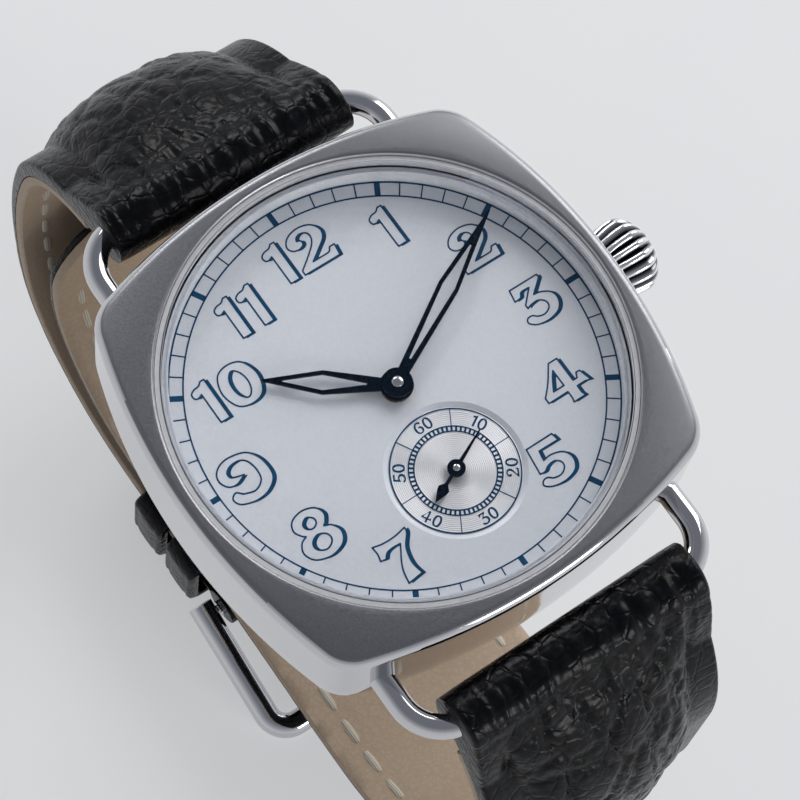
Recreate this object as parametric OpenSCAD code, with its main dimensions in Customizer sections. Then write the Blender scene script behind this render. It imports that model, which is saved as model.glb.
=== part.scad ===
// Cushion-case wristwatch with small seconds, a hand-wound movement and a two-piece leather strap.
// +X points to 3 o'clock, +Y to 12 o'clock, +Z out of the dial. The origin is the centre of the
// flat outer face of the case back. The strap hangs below it as an open loop.

/* [Case] */
// Half width of the case at the middle of a side
case_half = 18.2; // [17.8:0.1:19]
// Radius of the bowed sides
side_r = 45; // [40:1:60]
// Radius of the corners seen from above
corner_r = 3.3; // [2.8:0.1:4]
// Height of the case's top edge above the dial
dial_depth = 3.1; // [2.8:0.1:3.6]
// Radius that rounds the top edge
top_edge_r = 0.7; // [0.4:0.1:0.9]
// How far the top falls towards the corners
top_droop = 0.45; // [0.1:0.05:0.8]
// Wall between the case's top rim and the crystal gasket
rim_w = 0.25; // [0.15:0.05:0.35]
// Thickness of the case back at its centre
back_t = 1.1; // [0.9:0.1:1.5]
// Distance from the middle of a side in to the case back's flange
back_inset = 2.9; // [2.8:0.1:3.4]
// Width of the case back's flange outside its threaded boss
back_step = 1.1; // [0.9:0.1:1.3]
// Number of key notches in the case back
back_notches = 6; // [4:1:8]

/* [Crystal and dial] */
// Distance from the middle of a side in to the crystal
bezel_w = 1.6; // [1.4:0.1:1.9]
// Thickness of the crystal
crystal_t = 1.3; // [1:0.1:1.6]
// Rise of the domed crystal at its centre
crystal_dome = 1.2; // [0.6:0.1:1.6]
// Radial thickness of the crystal gasket
gasket_t = 0.4; // [0.3:0.05:0.5]
// Thickness of the dial
dial_t = 0.4; // [0.3:0.05:0.5]
// Radius of the small seconds dial
seconds_dial_r = 5.1; // [4.6:0.1:5.4]
// Depth to which the small seconds dial is sunk
seconds_sink = 0.2; // [0.1:0.05:0.25]
// Width of the chamfer around the small seconds dial
seconds_chamfer = 0.35; // [0.2:0.05:0.5]

/* [Hands] */
// Length of the hour hand from the centre
hour_len = 9.5; // [8:0.1:10]
// Distance from the minute hand's tip to the dial's edge
minute_gap = 1.45; // [1.2:0.05:2]
// Length of the seconds hand from its centre
seconds_len = 3.4; // [2.8:0.1:4]
// Radius of the hour hand's boss
hub_r = 1.2; // [1:0.05:1.4]
// Thickness of a hand
hand_t = 0.18; // [0.14:0.02:0.24]
// Width of the lines of the skeleton hands
hand_line = 0.3; // [0.24:0.02:0.36]
// Time shown: minutes after 12, seconds included
shown_min = 610.18; // [600:0.01:620]

/* [Crown] */
// Radius of the crown over its flutes
crown_r = 3; // [2.7:0.1:3.2]
// Length of the crown
crown_len = 4; // [3.4:0.1:4.6]
// Number of flutes
crown_flutes = 20; // [16:2:24]
// Depth of the flutes
flute_d = 0.36; // [0.2:0.02:0.44]
// Gap between the case and the crown when it is pushed in
crown_gap = 0.3; // [0.2:0.05:0.5]
// Travel of the crown to its setting position
crown_pull = 1; // [0.6:0.1:1.2]
// Outer radius of the crown tube
tube_r = 1.05; // [0.95:0.05:1.15]
// Radius of the winding stem
stem_r = 0.45; // [0.4:0.05:0.5]

/* [Wire lugs] */
// Radius of the lug wire
wire_r = 0.9; // [0.8:0.05:1]
// Distance of each wire leg from the strap's edge
leg_gap = 2.2; // [2:0.1:2.4]
// Distance of the wire's end bar from the middle of the case's side
bar_gap = 3.8; // [3.4:0.1:4.6]
// Radius of the wire's bends along its centre
bend_r = 3.4; // [2.8:0.1:3.8]
// Depth to which a leg is set into the case
leg_set = 2.2; // [1.6:0.1:2.6]

/* [Movement] */
// Distance from the case back's boss in to the main plate
plate_inset = 1.4; // [1.35:0.05:1.5]
// Thickness of the main plate
plate_t = 1.2; // [1.1:0.05:1.3]
// Height of the space for the train
train_h = 1.4; // [1.35:0.05:1.6]
// Thickness of the bridges
bridge_t = 0.8; // [0.7:0.05:0.9]
// Height of the space for the motion works
works_h = 1.1; // [1.05:0.05:1.3]
// Gap between the bridges and the case back
back_gap = 0.5; // [0.45:0.05:0.8]
// Wall of the movement ring
ring_w = 0.5; // [0.4:0.05:0.6]
// Distance of the small seconds from the centre, with a main plate of 12.8
seconds_y = 7.26; // [7.2:0.02:7.3]

/* [Strap] */
// Width of the strap at the lugs
strap_w = 20.4; // [19:0.2:21]
// How much narrower the strap is at the buckle and at the tip
strap_taper = 1.8; // [1.4:0.2:3]
// Thickness of the strap at the lugs
strap_t = 4.6; // [4.2:0.1:5]
// Thickness of the strap at its far ends
strap_end_t = 2.4; // [2.2:0.1:2.8]
// Thickness of the lining
lining_t = 0.8; // [0.6:0.1:1]
// Thickness of the thin stitched edge
edge_t = 0.7; // [0.5:0.1:1]
// Length over which the folded end thins out to the stitched edge
fold_len = 6; // [5:0.5:9]
// Angle below level at which the 12 o'clock half leaves its wire
lean_12 = 20; // [16:1:24]
// Angle below level at which the 6 o'clock half leaves its wire
lean_6 = 45; // [42:1:48]
// Gap between the layers of the loop, in which the keepers lie
layer_gap = 1.7; // [1.6:0.05:1.9]
// Radius of the adjustment holes
hole_r = 0.95; // [0.8:0.05:1.1]
// Distance between the adjustment holes
hole_pitch = 6.5; // [6:0.25:7]

/* [Buckle] */
// Radius of the buckle's rod
rod_r = 1.1; // [1:0.05:1.2]
// Radius of the spring bar
bar_r = 0.7; // [0.6:0.05:0.8]
// Distance from the spring bar to the buckle's front bar
buckle_len = 11.3; // [10:0.1:12]
// Gap at each side between the strap and the buckle
buckle_gap = 0.4; // [0.3:0.05:0.6]
// Width of a keeper along the strap
keeper_w = 4; // [3.5:0.25:4.5]
// Thickness of a keeper's leather
keeper_t = 1.1; // [1:0.05:1.2]
// Gap between a keeper and the strap inside it
keeper_ease = 0.15; // [0.1:0.05:0.25]

/* [Hidden] */
$fn = 64;
// Running clearance between a shaft and its hole, and between pieces that are laid together
run = 0.05;
fit = 0.03;

// Heights, built up from the case back's outer face at 0
bridge_lo = back_t + back_gap;
bridge_hi = bridge_lo + bridge_t;
plate_lo = bridge_hi + train_h;
plate_hi = plate_lo + plate_t;
dial_lo = plate_hi + works_h;
dial_z = dial_lo + dial_t;
stem_z = plate_hi - plate_t / 2;
case_top = dial_z + dial_depth;
case_lo = 0.6;
crystal_seat = case_top - 1.6;
crystal_edge = 1.4;

// Radii that follow from the case's half width
crystal_r = case_half - bezel_w;
back_r = case_half - back_inset;
back_boss_r = back_r - back_step;
plate_r = back_boss_r - plate_inset;
// How much larger the movement is drawn than with a main plate of 12.8
calibre = plate_r / 12.8;

// Radii of the case's bores
bezel_bore = crystal_r + gasket_t;
rim_r = bezel_bore + rim_w;
dial_r = crystal_r - 0.05;
dial_bore = dial_r + run;
ring_r = plate_r + run + ring_w;
ring_bore = ring_r + run;
back_boss_in = back_boss_r - 1.1;
bar_y = case_half + bar_gap;
leg_x = strap_w / 2 + leg_gap;
strap_end_w = strap_w - strap_taper;
minute_len = dial_r - minute_gap;
// Height of the shelf on which the case presses the back's gasket
gasket_shelf = bridge_lo + 0.4;

// Centres of the movement's arbors
centre_teeth = 80;
centre_pinion = 12;
third_teeth = 75;
third_pinion = 10;
fourth_teeth = 70;
fourth_pinion = 10;
escape_teeth = 15;
escape_pinion = 7;
barrel_teeth = 72;
ratchet_teeth = 56;
crown_wheel_teeth = 22;
winding_teeth = 14;
centre_m = 0.12 * calibre;
third_m = 0.09 * calibre;
fourth_m = 0.09 * calibre;
barrel_m = 0.15 * calibre;
winding_m = 0.2 * calibre;
works_m = 0.11 * calibre;
cannon_teeth = 12;
minute_teeth = 36;
minute_pinion = 10;
hour_teeth = 40;
setting_teeth = 18;
hour_m = works_m * (cannon_teeth + minute_teeth) / (minute_pinion + hour_teeth);

function gear_r(teeth, m) = teeth * m / 2;
function polar(r, a) = [r * cos(a), r * sin(a)];
function heading(a, b) = atan2(b[1] - a[1], b[0] - a[0]);
// Where a point lies that is ra from a and rb from b, on the left of the line from a to b
function meet(a, b, ra, rb) =
    let (d = norm(b - a), u = (b - a) / d, s = (ra * ra - rb * rb + d * d) / (2 * d))
    a + s * u + sqrt(ra * ra - s * s) * [-u[1], u[0]];

centre_at = [0, 0];
fourth_at = [0, -seconds_y * calibre];
third_at = meet(fourth_at, centre_at,
    gear_r(third_teeth + fourth_pinion, third_m), gear_r(centre_teeth + third_pinion, centre_m));
third_pos = [abs(third_at[0]), third_at[1]];
escape_at = fourth_at + polar(gear_r(fourth_teeth + escape_pinion, fourth_m), 199.8);
escape_r = 2.25 * calibre;
pallet_gap = escape_r / cos(30);
to_balance = 121.7;
pallet_at = escape_at + polar(pallet_gap, to_balance);
balance_at = escape_at + polar(6.2 * calibre, to_balance);
balance_r = 3.3 * calibre;
crown_wheel_at = [6.5 * calibre, 0];
barrel_at = meet(centre_at, crown_wheel_at,
    gear_r(barrel_teeth + centre_pinion, barrel_m),
    gear_r(ratchet_teeth + crown_wheel_teeth, winding_m));
minute_at = polar(gear_r(cannon_teeth + minute_teeth, works_m), -20);
setting_gap = gear_r(minute_teeth + setting_teeth, works_m);
setting_at = minute_at + [sqrt(setting_gap * setting_gap - minute_at[1] * minute_at[1]), -minute_at[1]];

// Angle at which gear b has a tooth so that it meshes with gear a, seen from a
function mesh(dir, teeth_a, phase_a, teeth_b) =
    dir + 180 + 180 / teeth_b + (dir - phase_a) * teeth_a / teeth_b;

// Heights of the wheels, from the plate down towards the case back
fourth_hi = plate_lo - 0.15;
barrel_hi = plate_hi - 0.55;
barrel_lo = plate_lo - 0.35;
centre_hi = plate_lo - 0.5;
escape_hi = plate_lo - 0.5;
winding_hi = plate_lo - 0.8;
third_hi = plate_lo - 0.85;
balance_hi = plate_lo - 0.8;
hairspring_hi = plate_lo - 1.15;
wheel_t = 0.16;
centre_pivot_r = 0.2;
hairspring_r = 2.4 * calibre;
drum_r = gear_r(barrel_teeth, barrel_m) - 0.3;
barrel_pocket_r = gear_r(barrel_teeth, barrel_m) + 0.3;

// Corner centre of the cushion outline and the half angle of a side's arc
corner_c = (case_half - side_r
    + sqrt(2 * pow(side_r - corner_r, 2) - pow(side_r - case_half, 2))) / 2;
side_ang = atan2(corner_c, corner_c + side_r - case_half);
corner_reach = corner_c * sqrt(2) + corner_r;

// One point of the cushion outline, drawn in by d, where the outline faces the angle a
function cushion_at(a, d) =
    let (quarter = floor((a + 45) / 90), b = a - 90 * quarter, side = abs(b) <= side_ang + 0.001,
        p = side ? [case_half - side_r + (side_r - d) * cos(b), (side_r - d) * sin(b)]
            : [corner_c + (corner_r - d) * cos(b), sign(b) * corner_c + (corner_r - d) * sin(b)])
    [p[0] * cos(90 * quarter) - p[1] * sin(90 * quarter),
     p[0] * sin(90 * quarter) + p[1] * cos(90 * quarter)];
side_steps = 10;
corner_steps = 8;
facing = [for (quarter = [0 : 3]) each concat(
    [for (i = [0 : side_steps - 1]) 90 * quarter - side_ang + 2 * side_ang * i / side_steps],
    [for (i = [0 : corner_steps - 1])
        90 * quarter + side_ang + (90 - 2 * side_ang) * i / corner_steps])];
function droop(p) = top_droop * pow(max(0, norm(p) - rim_r) / (corner_reach - rim_r), 2);
function flank_ring(d, z, fall = 0) =
    [for (a = facing) let (p = cushion_at(a, d)) [p[0], p[1], z - fall * droop(p)]];
function rim_ring(share) =
    [for (a = facing) let (p = cushion_at(a, top_edge_r), q = rim_r * p / norm(p),
        m = p * (1 - share) + q * share) [m[0], m[1], case_top - droop(m)]];

// Skin over a stack of rings that all have the same number of points
module loft(rings) {
    n = len(rings[0]);
    m = len(rings);
    sides = [for (i = [0 : m - 2], j = [0 : n - 1])
        let (a = i * n + j, b = i * n + (j + 1) % n) each [[a, a + n, b + n], [a, b + n, b]]];
    low = [[for (j = [0 : n - 1]) j]];
    high = [[for (j = [n - 1 : -1 : 0]) (m - 1) * n + j]];
    polyhedron(points = [for (r = rings) each r], faces = concat(low, sides, high), convexity = 6);
}

// A gear's outline: each tooth is four points, and one tooth is centred on phase
function teeth_points(teeth, m, phase) =
    let (r = gear_r(teeth, m), pitch = 360 / teeth)
    [for (i = [0 : teeth - 1]) each
        [polar(r - 1.1 * m, phase + pitch * (i - 0.27)), polar(r + 0.75 * m, phase + pitch * (i - 0.1)),
         polar(r + 0.75 * m, phase + pitch * (i + 0.1)), polar(r - 1.1 * m, phase + pitch * (i + 0.27))]];
// A window between two arms of a crossed wheel
function window_points(r0, r1, arms, i, arm_w) =
    let (a0 = 360 * i / arms, a1 = 360 * (i + 1) / arms, n = 4)
    concat(
        [for (k = [0 : n])
            let (g = asin(arm_w / 2 / r1)) polar(r1, a0 + g + (a1 - a0 - 2 * g) * k / n)],
        [for (k = [n : -1 : 0])
            let (g = asin(arm_w / 2 / r0)) polar(r0, a0 + g + (a1 - a0 - 2 * g) * k / n)]);

module at(p, z = 0) {
    translate([p[0], p[1], z]) children();
}
module disc(r, z0, z1) {
    translate([0, 0, z0]) cylinder(r = r, h = z1 - z0);
}
module tube(r_in, r_out, z0, z1) {
    difference() {
        disc(r_out, z0, z1);
        disc(r_in, z0 - 1, z1 + 1);
    }
}
module gear(teeth, m, z_hi, t, phase, arms = 0, hub = 0.6, bore = 0) {
    r_rim = gear_r(teeth, m) - 1.1 * m - 0.35;
    translate([0, 0, z_hi - t]) linear_extrude(height = t) difference() {
        polygon(teeth_points(teeth, m, phase));
        if (arms > 0)
            for (i = [0 : arms - 1]) polygon(window_points(hub, r_rim, arms, i, 0.3));
        if (bore > 0) circle(r = bore, $fn = 32);
    }
}
// An arbor with its two thinner pivots
module arbor(r, z0, z1, pivot_r, lo, hi) {
    disc(r, z0, z1);
    disc(pivot_r, lo, hi);
}

/* Case */
module case_middle() {
    color("silver") difference() {
        loft([
            flank_ring(2.4, case_lo),
            flank_ring(1.2, case_lo + 0.25),
            flank_ring(0.45, case_lo + 0.8),
            flank_ring(0.1, case_lo + 1.6),
            flank_ring(0, case_lo + 3),
            flank_ring(0, case_top - top_edge_r, 1),
            flank_ring(top_edge_r * (1 - cos(30)), case_top - top_edge_r * (1 - sin(30)), 1),
            flank_ring(top_edge_r * (1 - cos(60)), case_top - top_edge_r * (1 - sin(60)), 1),
            flank_ring(top_edge_r, case_top, 1),
            rim_ring(0.5),
            rim_ring(1)]);
        disc(bezel_bore, crystal_seat, case_top + 1);
        disc(dial_bore, dial_lo, crystal_seat + 1);
        disc(ring_bore, back_t, dial_lo + 1);
        disc(back_boss_r + run, 0, gasket_shelf);
        translate([0, 0, stem_z]) rotate([0, 90, 0]) cylinder(r = tube_r, h = case_half + 3);
        for (sx = [-1, 1], sy = [-1, 1])
            translate([sx * leg_x, sy * leg_end, stem_z]) rotate([sy * -90, 0, 0])
                cylinder(r = wire_r + fit, h = 6);
    }
}
module case_back() {
    key_at = back_r - 0.9;
    color("lightgray") difference() {
        union() {
            disc(back_r, 0, case_lo);
            disc(back_boss_r, case_lo, bridge_lo);
        }
        disc(back_boss_in, back_t, bridge_hi);
        for (i = [0 : back_notches - 1])
            rotate(360 * i / back_notches) translate([key_at, -0.7, -1]) cube([2, 1.4, 1.35]);
    }
}
module back_gasket() {
    color("dimgray") tube(ring_bore + 0.1, back_boss_r - 0.1, bridge_lo, gasket_shelf - 0.02);
}
module crystal() {
    n = 12;
    edge_hi = crystal_seat + crystal_edge;
    function dome(z0, i) = [crystal_r * i / n, z0 + crystal_dome * (1 - pow(i / n, 2))];
    inner = crystal_r - 0.9;
    color("white", 0.3) rotate_extrude($fn = 96) polygon(concat(
        [for (i = [0 : n]) dome(edge_hi, i)],
        [[crystal_r, crystal_seat], [inner, crystal_seat], [inner, edge_hi - crystal_t + 0.2]],
        [for (i = [n - 1 : -1 : 0]) [inner * i / n, edge_hi - crystal_t + 0.2
            + (crystal_dome - 0.2) * (1 - pow(i / n, 2))]]));
}
module crystal_gasket() {
    color("dimgray")
        tube(crystal_r + fit, bezel_bore - fit, crystal_seat, crystal_seat + crystal_edge - 0.1);
}
module flange_ring() {
    lo = dial_r - 0.45;
    color("white") rotate_extrude($fn = 96) polygon([[lo, dial_z], [dial_r, dial_z],
        [dial_r, crystal_seat], [dial_r - 0.15, crystal_seat]]);
}
// A straight stretch of rod along +Z whose ends reach into the bends next to it
module rod(r, length) {
    disc(r - 0.02, -0.1, length + 0.1);
}
// A quarter bend of rod, from +X round to +Y
module elbow(r, bend) {
    rotate_extrude(angle = 90) translate([bend, 0]) circle(r = r, $fn = 32);
}
// Where a wire leg ends inside the case
leg_end = case_half - side_r + sqrt(side_r * side_r - leg_x * leg_x) - leg_set;
module lug_wire() {
    straight = leg_x - bend_r;
    color("silver") translate([0, 0, stem_z]) {
        translate([-straight, bar_y, 0]) rotate([0, 90, 0]) rod(wire_r, 2 * straight);
        for (s = [0, 1]) mirror([s, 0, 0]) {
            translate([straight, bar_y - bend_r, 0]) elbow(wire_r, bend_r);
            // The rod reaches 0.1 further at each end, here on to the bottom of its bore
            translate([leg_x, leg_end + 0.1, 0]) rotate([-90, 0, 0])
                rod(wire_r, bar_y - bend_r - leg_end - 0.1);
        }
    }
}
module lug_wire_12() {
    lug_wire();
}
module lug_wire_6() {
    mirror([0, 1, 0]) lug_wire();
}

/* Dial and hands */
module dial() {
    color("whitesmoke") difference() {
        union() {
            disc(dial_r, dial_lo, dial_z);
            for (a = [45, 225]) at(polar(plate_r - 1.6, a)) disc(0.4, plate_lo + 0.3, dial_lo);
        }
        disc(hub_r - 0.1, dial_lo - 1, dial_z + 1);
        at(fourth_at) disc(seconds_dial_r - seconds_chamfer, dial_lo - 1, dial_z + 1);
        at(fourth_at, dial_z - seconds_sink)
            cylinder(r1 = seconds_dial_r - seconds_chamfer, r2 = seconds_dial_r, h = seconds_sink + 0.001);
    }
}
module seconds_dial() {
    color("gainsboro") at(fourth_at) tube(0.3, seconds_dial_r - seconds_chamfer - 0.01,
        dial_lo, dial_z - seconds_sink);
}
minute_turn = 90 - 6 * (shown_min % 60);
hour_turn = 90 - shown_min / 2;
seconds_turn = 90 - 360 * ((shown_min * 60) % 60) / 60;
hour_z = dial_z + 0.45;
minute_z = hour_z + hand_t + 0.3;
seconds_z = dial_z + 0.15;
// Radii of the pipes and the pin that carry the hands
hour_pipe_r = 0.75;
cannon_r = 0.42;
seconds_pin_r = 0.2;

// A skeleton hand along +X: neck, wide place, tip and the opening in it
module skeleton_hand(boss, bore, length, neck, wide_at, wide, shut) {
    l = hand_line;
    linear_extrude(height = hand_t) difference() {
        union() {
            circle(r = boss);
            polygon([[0, neck / 2], [wide_at, wide / 2], [length, 0.05], [length, -0.05],
                [wide_at, -wide / 2], [0, -neck / 2]]);
        }
        polygon([[boss + 0.9, neck / 2 - l], [wide_at, wide / 2 - l], [shut, 0.06], [shut, -0.06],
            [wide_at, l - wide / 2], [boss + 0.9, l - neck / 2]]);
        circle(r = bore + 0.02);
    }
}
module hour_hand() {
    color("midnightblue") translate([0, 0, hour_z]) rotate(hour_turn)
        skeleton_hand(hub_r, hour_pipe_r, hour_len, 0.75, 5.2, 1.8, 8);
}
module minute_hand() {
    color("midnightblue") translate([0, 0, minute_z]) rotate(minute_turn)
        skeleton_hand(hub_r - 0.1, cannon_r, minute_len, 0.75, 8.3, 1.55, 12);
}
module seconds_hand() {
    color("midnightblue") at(fourth_at, seconds_z) rotate(seconds_turn) linear_extrude(height = hand_t)
        difference() {
            union() {
                circle(r = 0.65);
                polygon([[0, 0.16], [seconds_len, 0.05], [seconds_len, -0.05], [0, -0.16]]);
                polygon([[0, 0.12], [-1.4, 0.12], [-1.8, 0.42], [-2.1, 0.36], [-3, 0], [-2.1, -0.36],
                    [-1.8, -0.42], [-1.4, -0.12], [0, -0.12]]);
            }
            circle(r = seconds_pin_r + 0.02);
        }
}

/* Crown and keyless works */
crown_x = case_half + crown_gap;
tube_in = ring_bore + 0.2;
tube_out = crown_x + 1.4;
// Radius of the onion-shaped crown at the share s of its length
function onion(s) = crown_r * (s < 0.62 ? 0.82 + 0.18 * sin(90 * s / 0.62)
    : sqrt(1 - pow((s - 0.62) / 0.38, 2) * 0.72));
module crown() {
    per = 5;
    n = crown_flutes * per;
    steps = 7;
    rings = [for (i = [0 : steps]) let (s = i / steps)
        [for (j = [0 : n - 1])
            let (a = 360 * j / n,
                r = onion(s) - flute_d * (1 - abs(sin(crown_flutes * a / 2))) * sin(20 + 140 * s))
            [r * cos(a), r * sin(a), crown_len * s]]];
    color("silver") translate([crown_x, 0, stem_z]) rotate([0, 90, 0]) difference() {
        loft(rings);
        translate([0, 0, -1]) cylinder(r = tube_r + 0.35, h = 1 + 2);
        translate([0, 0, 1]) cylinder(r = stem_r + fit, h = 2.2);
    }
}
module crown_gasket() {
    color("dimgray") translate([crown_x + 0.25, 0, stem_z]) rotate([0, 90, 0])
        tube(tube_r + run, tube_r + 0.35 - fit, 0, 0.7);
}
module crown_tube() {
    color("lightgray") translate([0, 0, stem_z]) rotate([0, 90, 0])
        tube(stem_r + run, tube_r - 0.01, tube_in, crown_x + 0.95);
}
stem_in = 5.6 * calibre;
winding_x = 8.5 * calibre;
winding_len = 1.5;
sliding_x = 6.5 * calibre;
sliding_len = 1.6;
groove_x = 10.6 * calibre;
module winding_stem() {
    color("gray") translate([0, 0, stem_z]) rotate([0, 90, 0]) difference() {
        disc(stem_r, stem_in, crown_x + 3.1);
        tube(stem_r - 0.15, stem_r + 1, groove_x - 0.3, groove_x + 0.3);
    }
}
// Gears on the stem's axis point a tooth straight down, into the crown wheel
module on_stem(x) {
    translate([x, 0, stem_z]) rotate([0, 90, 0]) children();
}
module winding_pinion() {
    color("goldenrod") on_stem(winding_x) difference() {
        union() {
            gear(winding_teeth, winding_m, 0.9, 0.9, 0);
            disc(0.95, 0.9, winding_len);
        }
        disc(stem_r + run, -1, 3);
    }
}
module sliding_pinion() {
    color("goldenrod") on_stem(sliding_x) difference() {
        union() {
            gear(12, 0.14, 0.4, 0.4, 0);
            disc(0.6, 0.3, 1.1);
            gear(12, 0.14, sliding_len, 0.5, 0);
        }
        disc(stem_r + run, -1, 3);
    }
}
module setting_lever() {
    post = [groove_x - 0.6, -3.4];
    color("gray") {
        at(post) disc(0.35, plate_lo + 0.2, plate_hi + 0.25);
        translate([0, 0, plate_hi + 0.02]) linear_extrude(height = 0.25) {
            at(post) circle(r = 0.75);
            polygon([post + [-0.5, 0], post + [0.5, 0], [groove_x + 0.3, 0.3], [groove_x - 0.3, 0.3]]);
        }
        at([groove_x, 0]) disc(0.22, stem_z + stem_r - 0.12, plate_hi + 0.1);
    }
}
module yoke() {
    fork_x = sliding_x + 0.75;
    color("gray") translate([0, 0, plate_hi + 0.02]) linear_extrude(height = 0.25)
        polygon([[fork_x - 0.22, 2.2], [fork_x - 0.22, 0.7], [fork_x + 0.22, 0.7], [fork_x + 0.22, 2],
            [fork_x + 1.6, 4.6], [fork_x + 1.0, 5]]);
    color("gray") translate([fork_x - 0.15, 0.68, stem_z - 0.2]) cube([0.3, 0.3, plate_t / 2 + 0.3]);
}
module crown_wheel() {
    color("lightgray") at(crown_wheel_at) difference() {
        gear(crown_wheel_teeth, winding_m, winding_hi, 0.3, 180 / crown_wheel_teeth);
        disc(0.5, winding_hi - 1, winding_hi + 1);
    }
}
module ratchet_wheel() {
    dir = heading(crown_wheel_at, barrel_at);
    color("lightgray") at(barrel_at)
        gear(ratchet_teeth, winding_m, winding_hi, 0.3,
            mesh(dir, crown_wheel_teeth, 180 / crown_wheel_teeth, ratchet_teeth), 0, 0.6, 0.5);
}
click_dir = 150;
click_at = barrel_at + polar(gear_r(ratchet_teeth, winding_m) + 1, click_dir);
module click() {
    tip = barrel_at + polar(gear_r(ratchet_teeth, winding_m) + 0.22, click_dir + 9);
    color("gray") at([0, 0], winding_hi - 0.3) linear_extrude(height = 0.3) {
        at(click_at) circle(r = 0.45);
        polygon([click_at + [0.35, 0.2], click_at + [-0.4, 0.2], tip + [-0.12, 0], tip + [0.05, -0.05]]);
    }
    color("gray") at(click_at) disc(0.25, bridge_hi, winding_hi);
}
module click_spring() {
    color("silver") at(click_at, winding_hi - 0.25) rotate(60)
        linear_extrude(height = 0.15) translate([0.47, -1.1]) square([0.12, 2.4]);
}

/* Movement frame */
module movement_ring() {
    color("lightgray") difference() {
        tube(plate_r + run, ring_r, bridge_lo + 0.02, dial_lo);
        on_stem(plate_r - 1) cylinder(r = stem_r + 0.3, h = 4);
    }
}
// Screws in the plate's edge whose wide washers hold the movement in its ring
clamp_at = [for (a = [45, 200, 320]) polar(plate_r - 0.9, a)];
module casing_clamps() {
    color("steelblue") for (p = clamp_at) at(p) {
        disc(0.6, bridge_lo - 0.32, bridge_lo - 0.14);
        disc(back_boss_in - run - norm(p), bridge_lo - 0.14, bridge_lo);
        disc(0.35, bridge_lo, plate_lo - 0.02);
    }
}
module main_plate() {
    color("gainsboro") difference() {
        union() {
            disc(plate_r, plate_lo, plate_hi);
            tube(plate_r - 0.8, plate_r, plate_hi, dial_lo);
            at(minute_at) disc(0.17, plate_lo, hour_wheel_hi);
            at(setting_at) disc(0.17, plate_hi - 0.05, minute_wheel_hi);
        }
        at(barrel_at) disc(barrel_pocket_r, plate_lo - 1, barrel_hi + 0.07);
        translate([sliding_x - 0.6, -1.9, plate_lo - 1])
            cube([winding_x + winding_len - sliding_x + 0.8, 3.8, 4]);
        on_stem(stem_in - 0.2) cylinder(r = stem_r + run, h = 9);
        translate([groove_x - 0.45, -0.7, stem_z]) cube([0.6 + crown_pull, 1.1, 4]);
        for (p = [centre_at, barrel_at]) at(p) disc(0.32, plate_lo - 1, plate_hi + 1);
        for (p = [fourth_at, third_pos, escape_at, balance_at, pallet_at])
            at(p) disc(0.45, plate_lo - 1, plate_hi + 1);
        for (a = [45, 225]) at(polar(plate_r - 1.6, a)) disc(0.4 + run, plate_lo - 1, plate_hi + 1);
        at([groove_x - 0.6, -3.4]) disc(0.35 + run, plate_lo - 1, plate_hi + 1);
    }
}
// Jewels pressed into the plate and the bridges round the pivots
jewelled = [fourth_at, third_pos, escape_at, balance_at, pallet_at];
function pivot_of(p) = p == fourth_at ? 0.22 : 0.12;
module plate_jewels() {
    color("crimson") for (p = jewelled)
        at(p) tube(pivot_of(p) + run, 0.44, plate_hi - 0.4, plate_hi - 0.02);
}
module bridge_jewels() {
    color("crimson") for (p = [fourth_at, third_pos, escape_at, balance_at, centre_at])
        at(p) tube((p == centre_at ? centre_pivot_r : 0.12) + run, 0.44, bridge_lo + 0.1, bridge_hi - 0.05);
}
// A bridge: a plate over part of the train, with feet that stand on the main plate
module bridge(feet, holes) {
    difference() {
        union() {
            translate([0, 0, bridge_lo]) linear_extrude(height = bridge_t) intersection() {
                circle(r = plate_r - 0.15);
                children();
            }
            for (p = feet) at(p) disc(0.7, bridge_lo + 0.1, plate_lo);
        }
        for (p = holes) at(p) disc(0.45, bridge_lo - 1, bridge_hi + 1);
        for (p = feet) at(p) disc(0.36, bridge_lo - 1, plate_lo - 0.3);
        for (p = clamp_at) at(p) disc(0.85, bridge_lo - 1, bridge_hi + 1);
    }
}
barrel_feet = [polar(plate_r - 1.2, 9), polar(plate_r - 0.9, 128)];
train_feet = [polar(plate_r - 1.1, 305), polar(plate_r - 0.9, 265)];
balance_feet = [polar(plate_r - 1.2, 178)];
pallet_foot = pallet_at + [-1.9, -0.9];
bridge_split = 0.9;
stud_land_r = 1.6;
// The cock's shape, or the room that the other bridges leave for it
module cock_plan(ease) {
    at(balance_at) circle(r = 1.4 + ease);
    translate([-14, balance_at[1] - 0.4 - ease]) square([14 + balance_at[0] + ease, 5 + 2 * ease]);
}
module barrel_bridge() {
    color("silver") {
        bridge(barrel_feet, [barrel_at]) difference() {
            union() {
                translate([-12, bridge_split]) square([30, 20]);
                at(crown_wheel_at) circle(r = stud_land_r);
            }
            at(balance_at) circle(r = balance_r + 1.2);
            cock_plan(0.2);
        }
        at(crown_wheel_at) disc(0.45, bridge_hi - 0.1, winding_hi - 0.02);
    }
}
module train_bridge() {
    color("silver") bridge(train_feet, [centre_at, third_pos, fourth_at, escape_at]) difference() {
        translate([-7, bridge_split - 0.2 - 20]) square([30, 20]);
        at(balance_at) circle(r = balance_r + 0.6);
        cock_plan(0.2);
        at(crown_wheel_at) circle(r = stud_land_r + 0.2);
        at(pallet_at) circle(r = 1.1);
    }
}
module balance_cock() {
    color("silver") {
        bridge(balance_feet, [balance_at]) difference() {
            cock_plan(0);
            at(balance_at + [1.2, 3.2]) circle(r = 2.2);
        }
        // Stud that holds the hairspring's outer end
        at(balance_at - [hairspring_r + 0.2, 0]) disc(0.15, bridge_hi - 0.1, hairspring_hi);
    }
}
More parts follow.
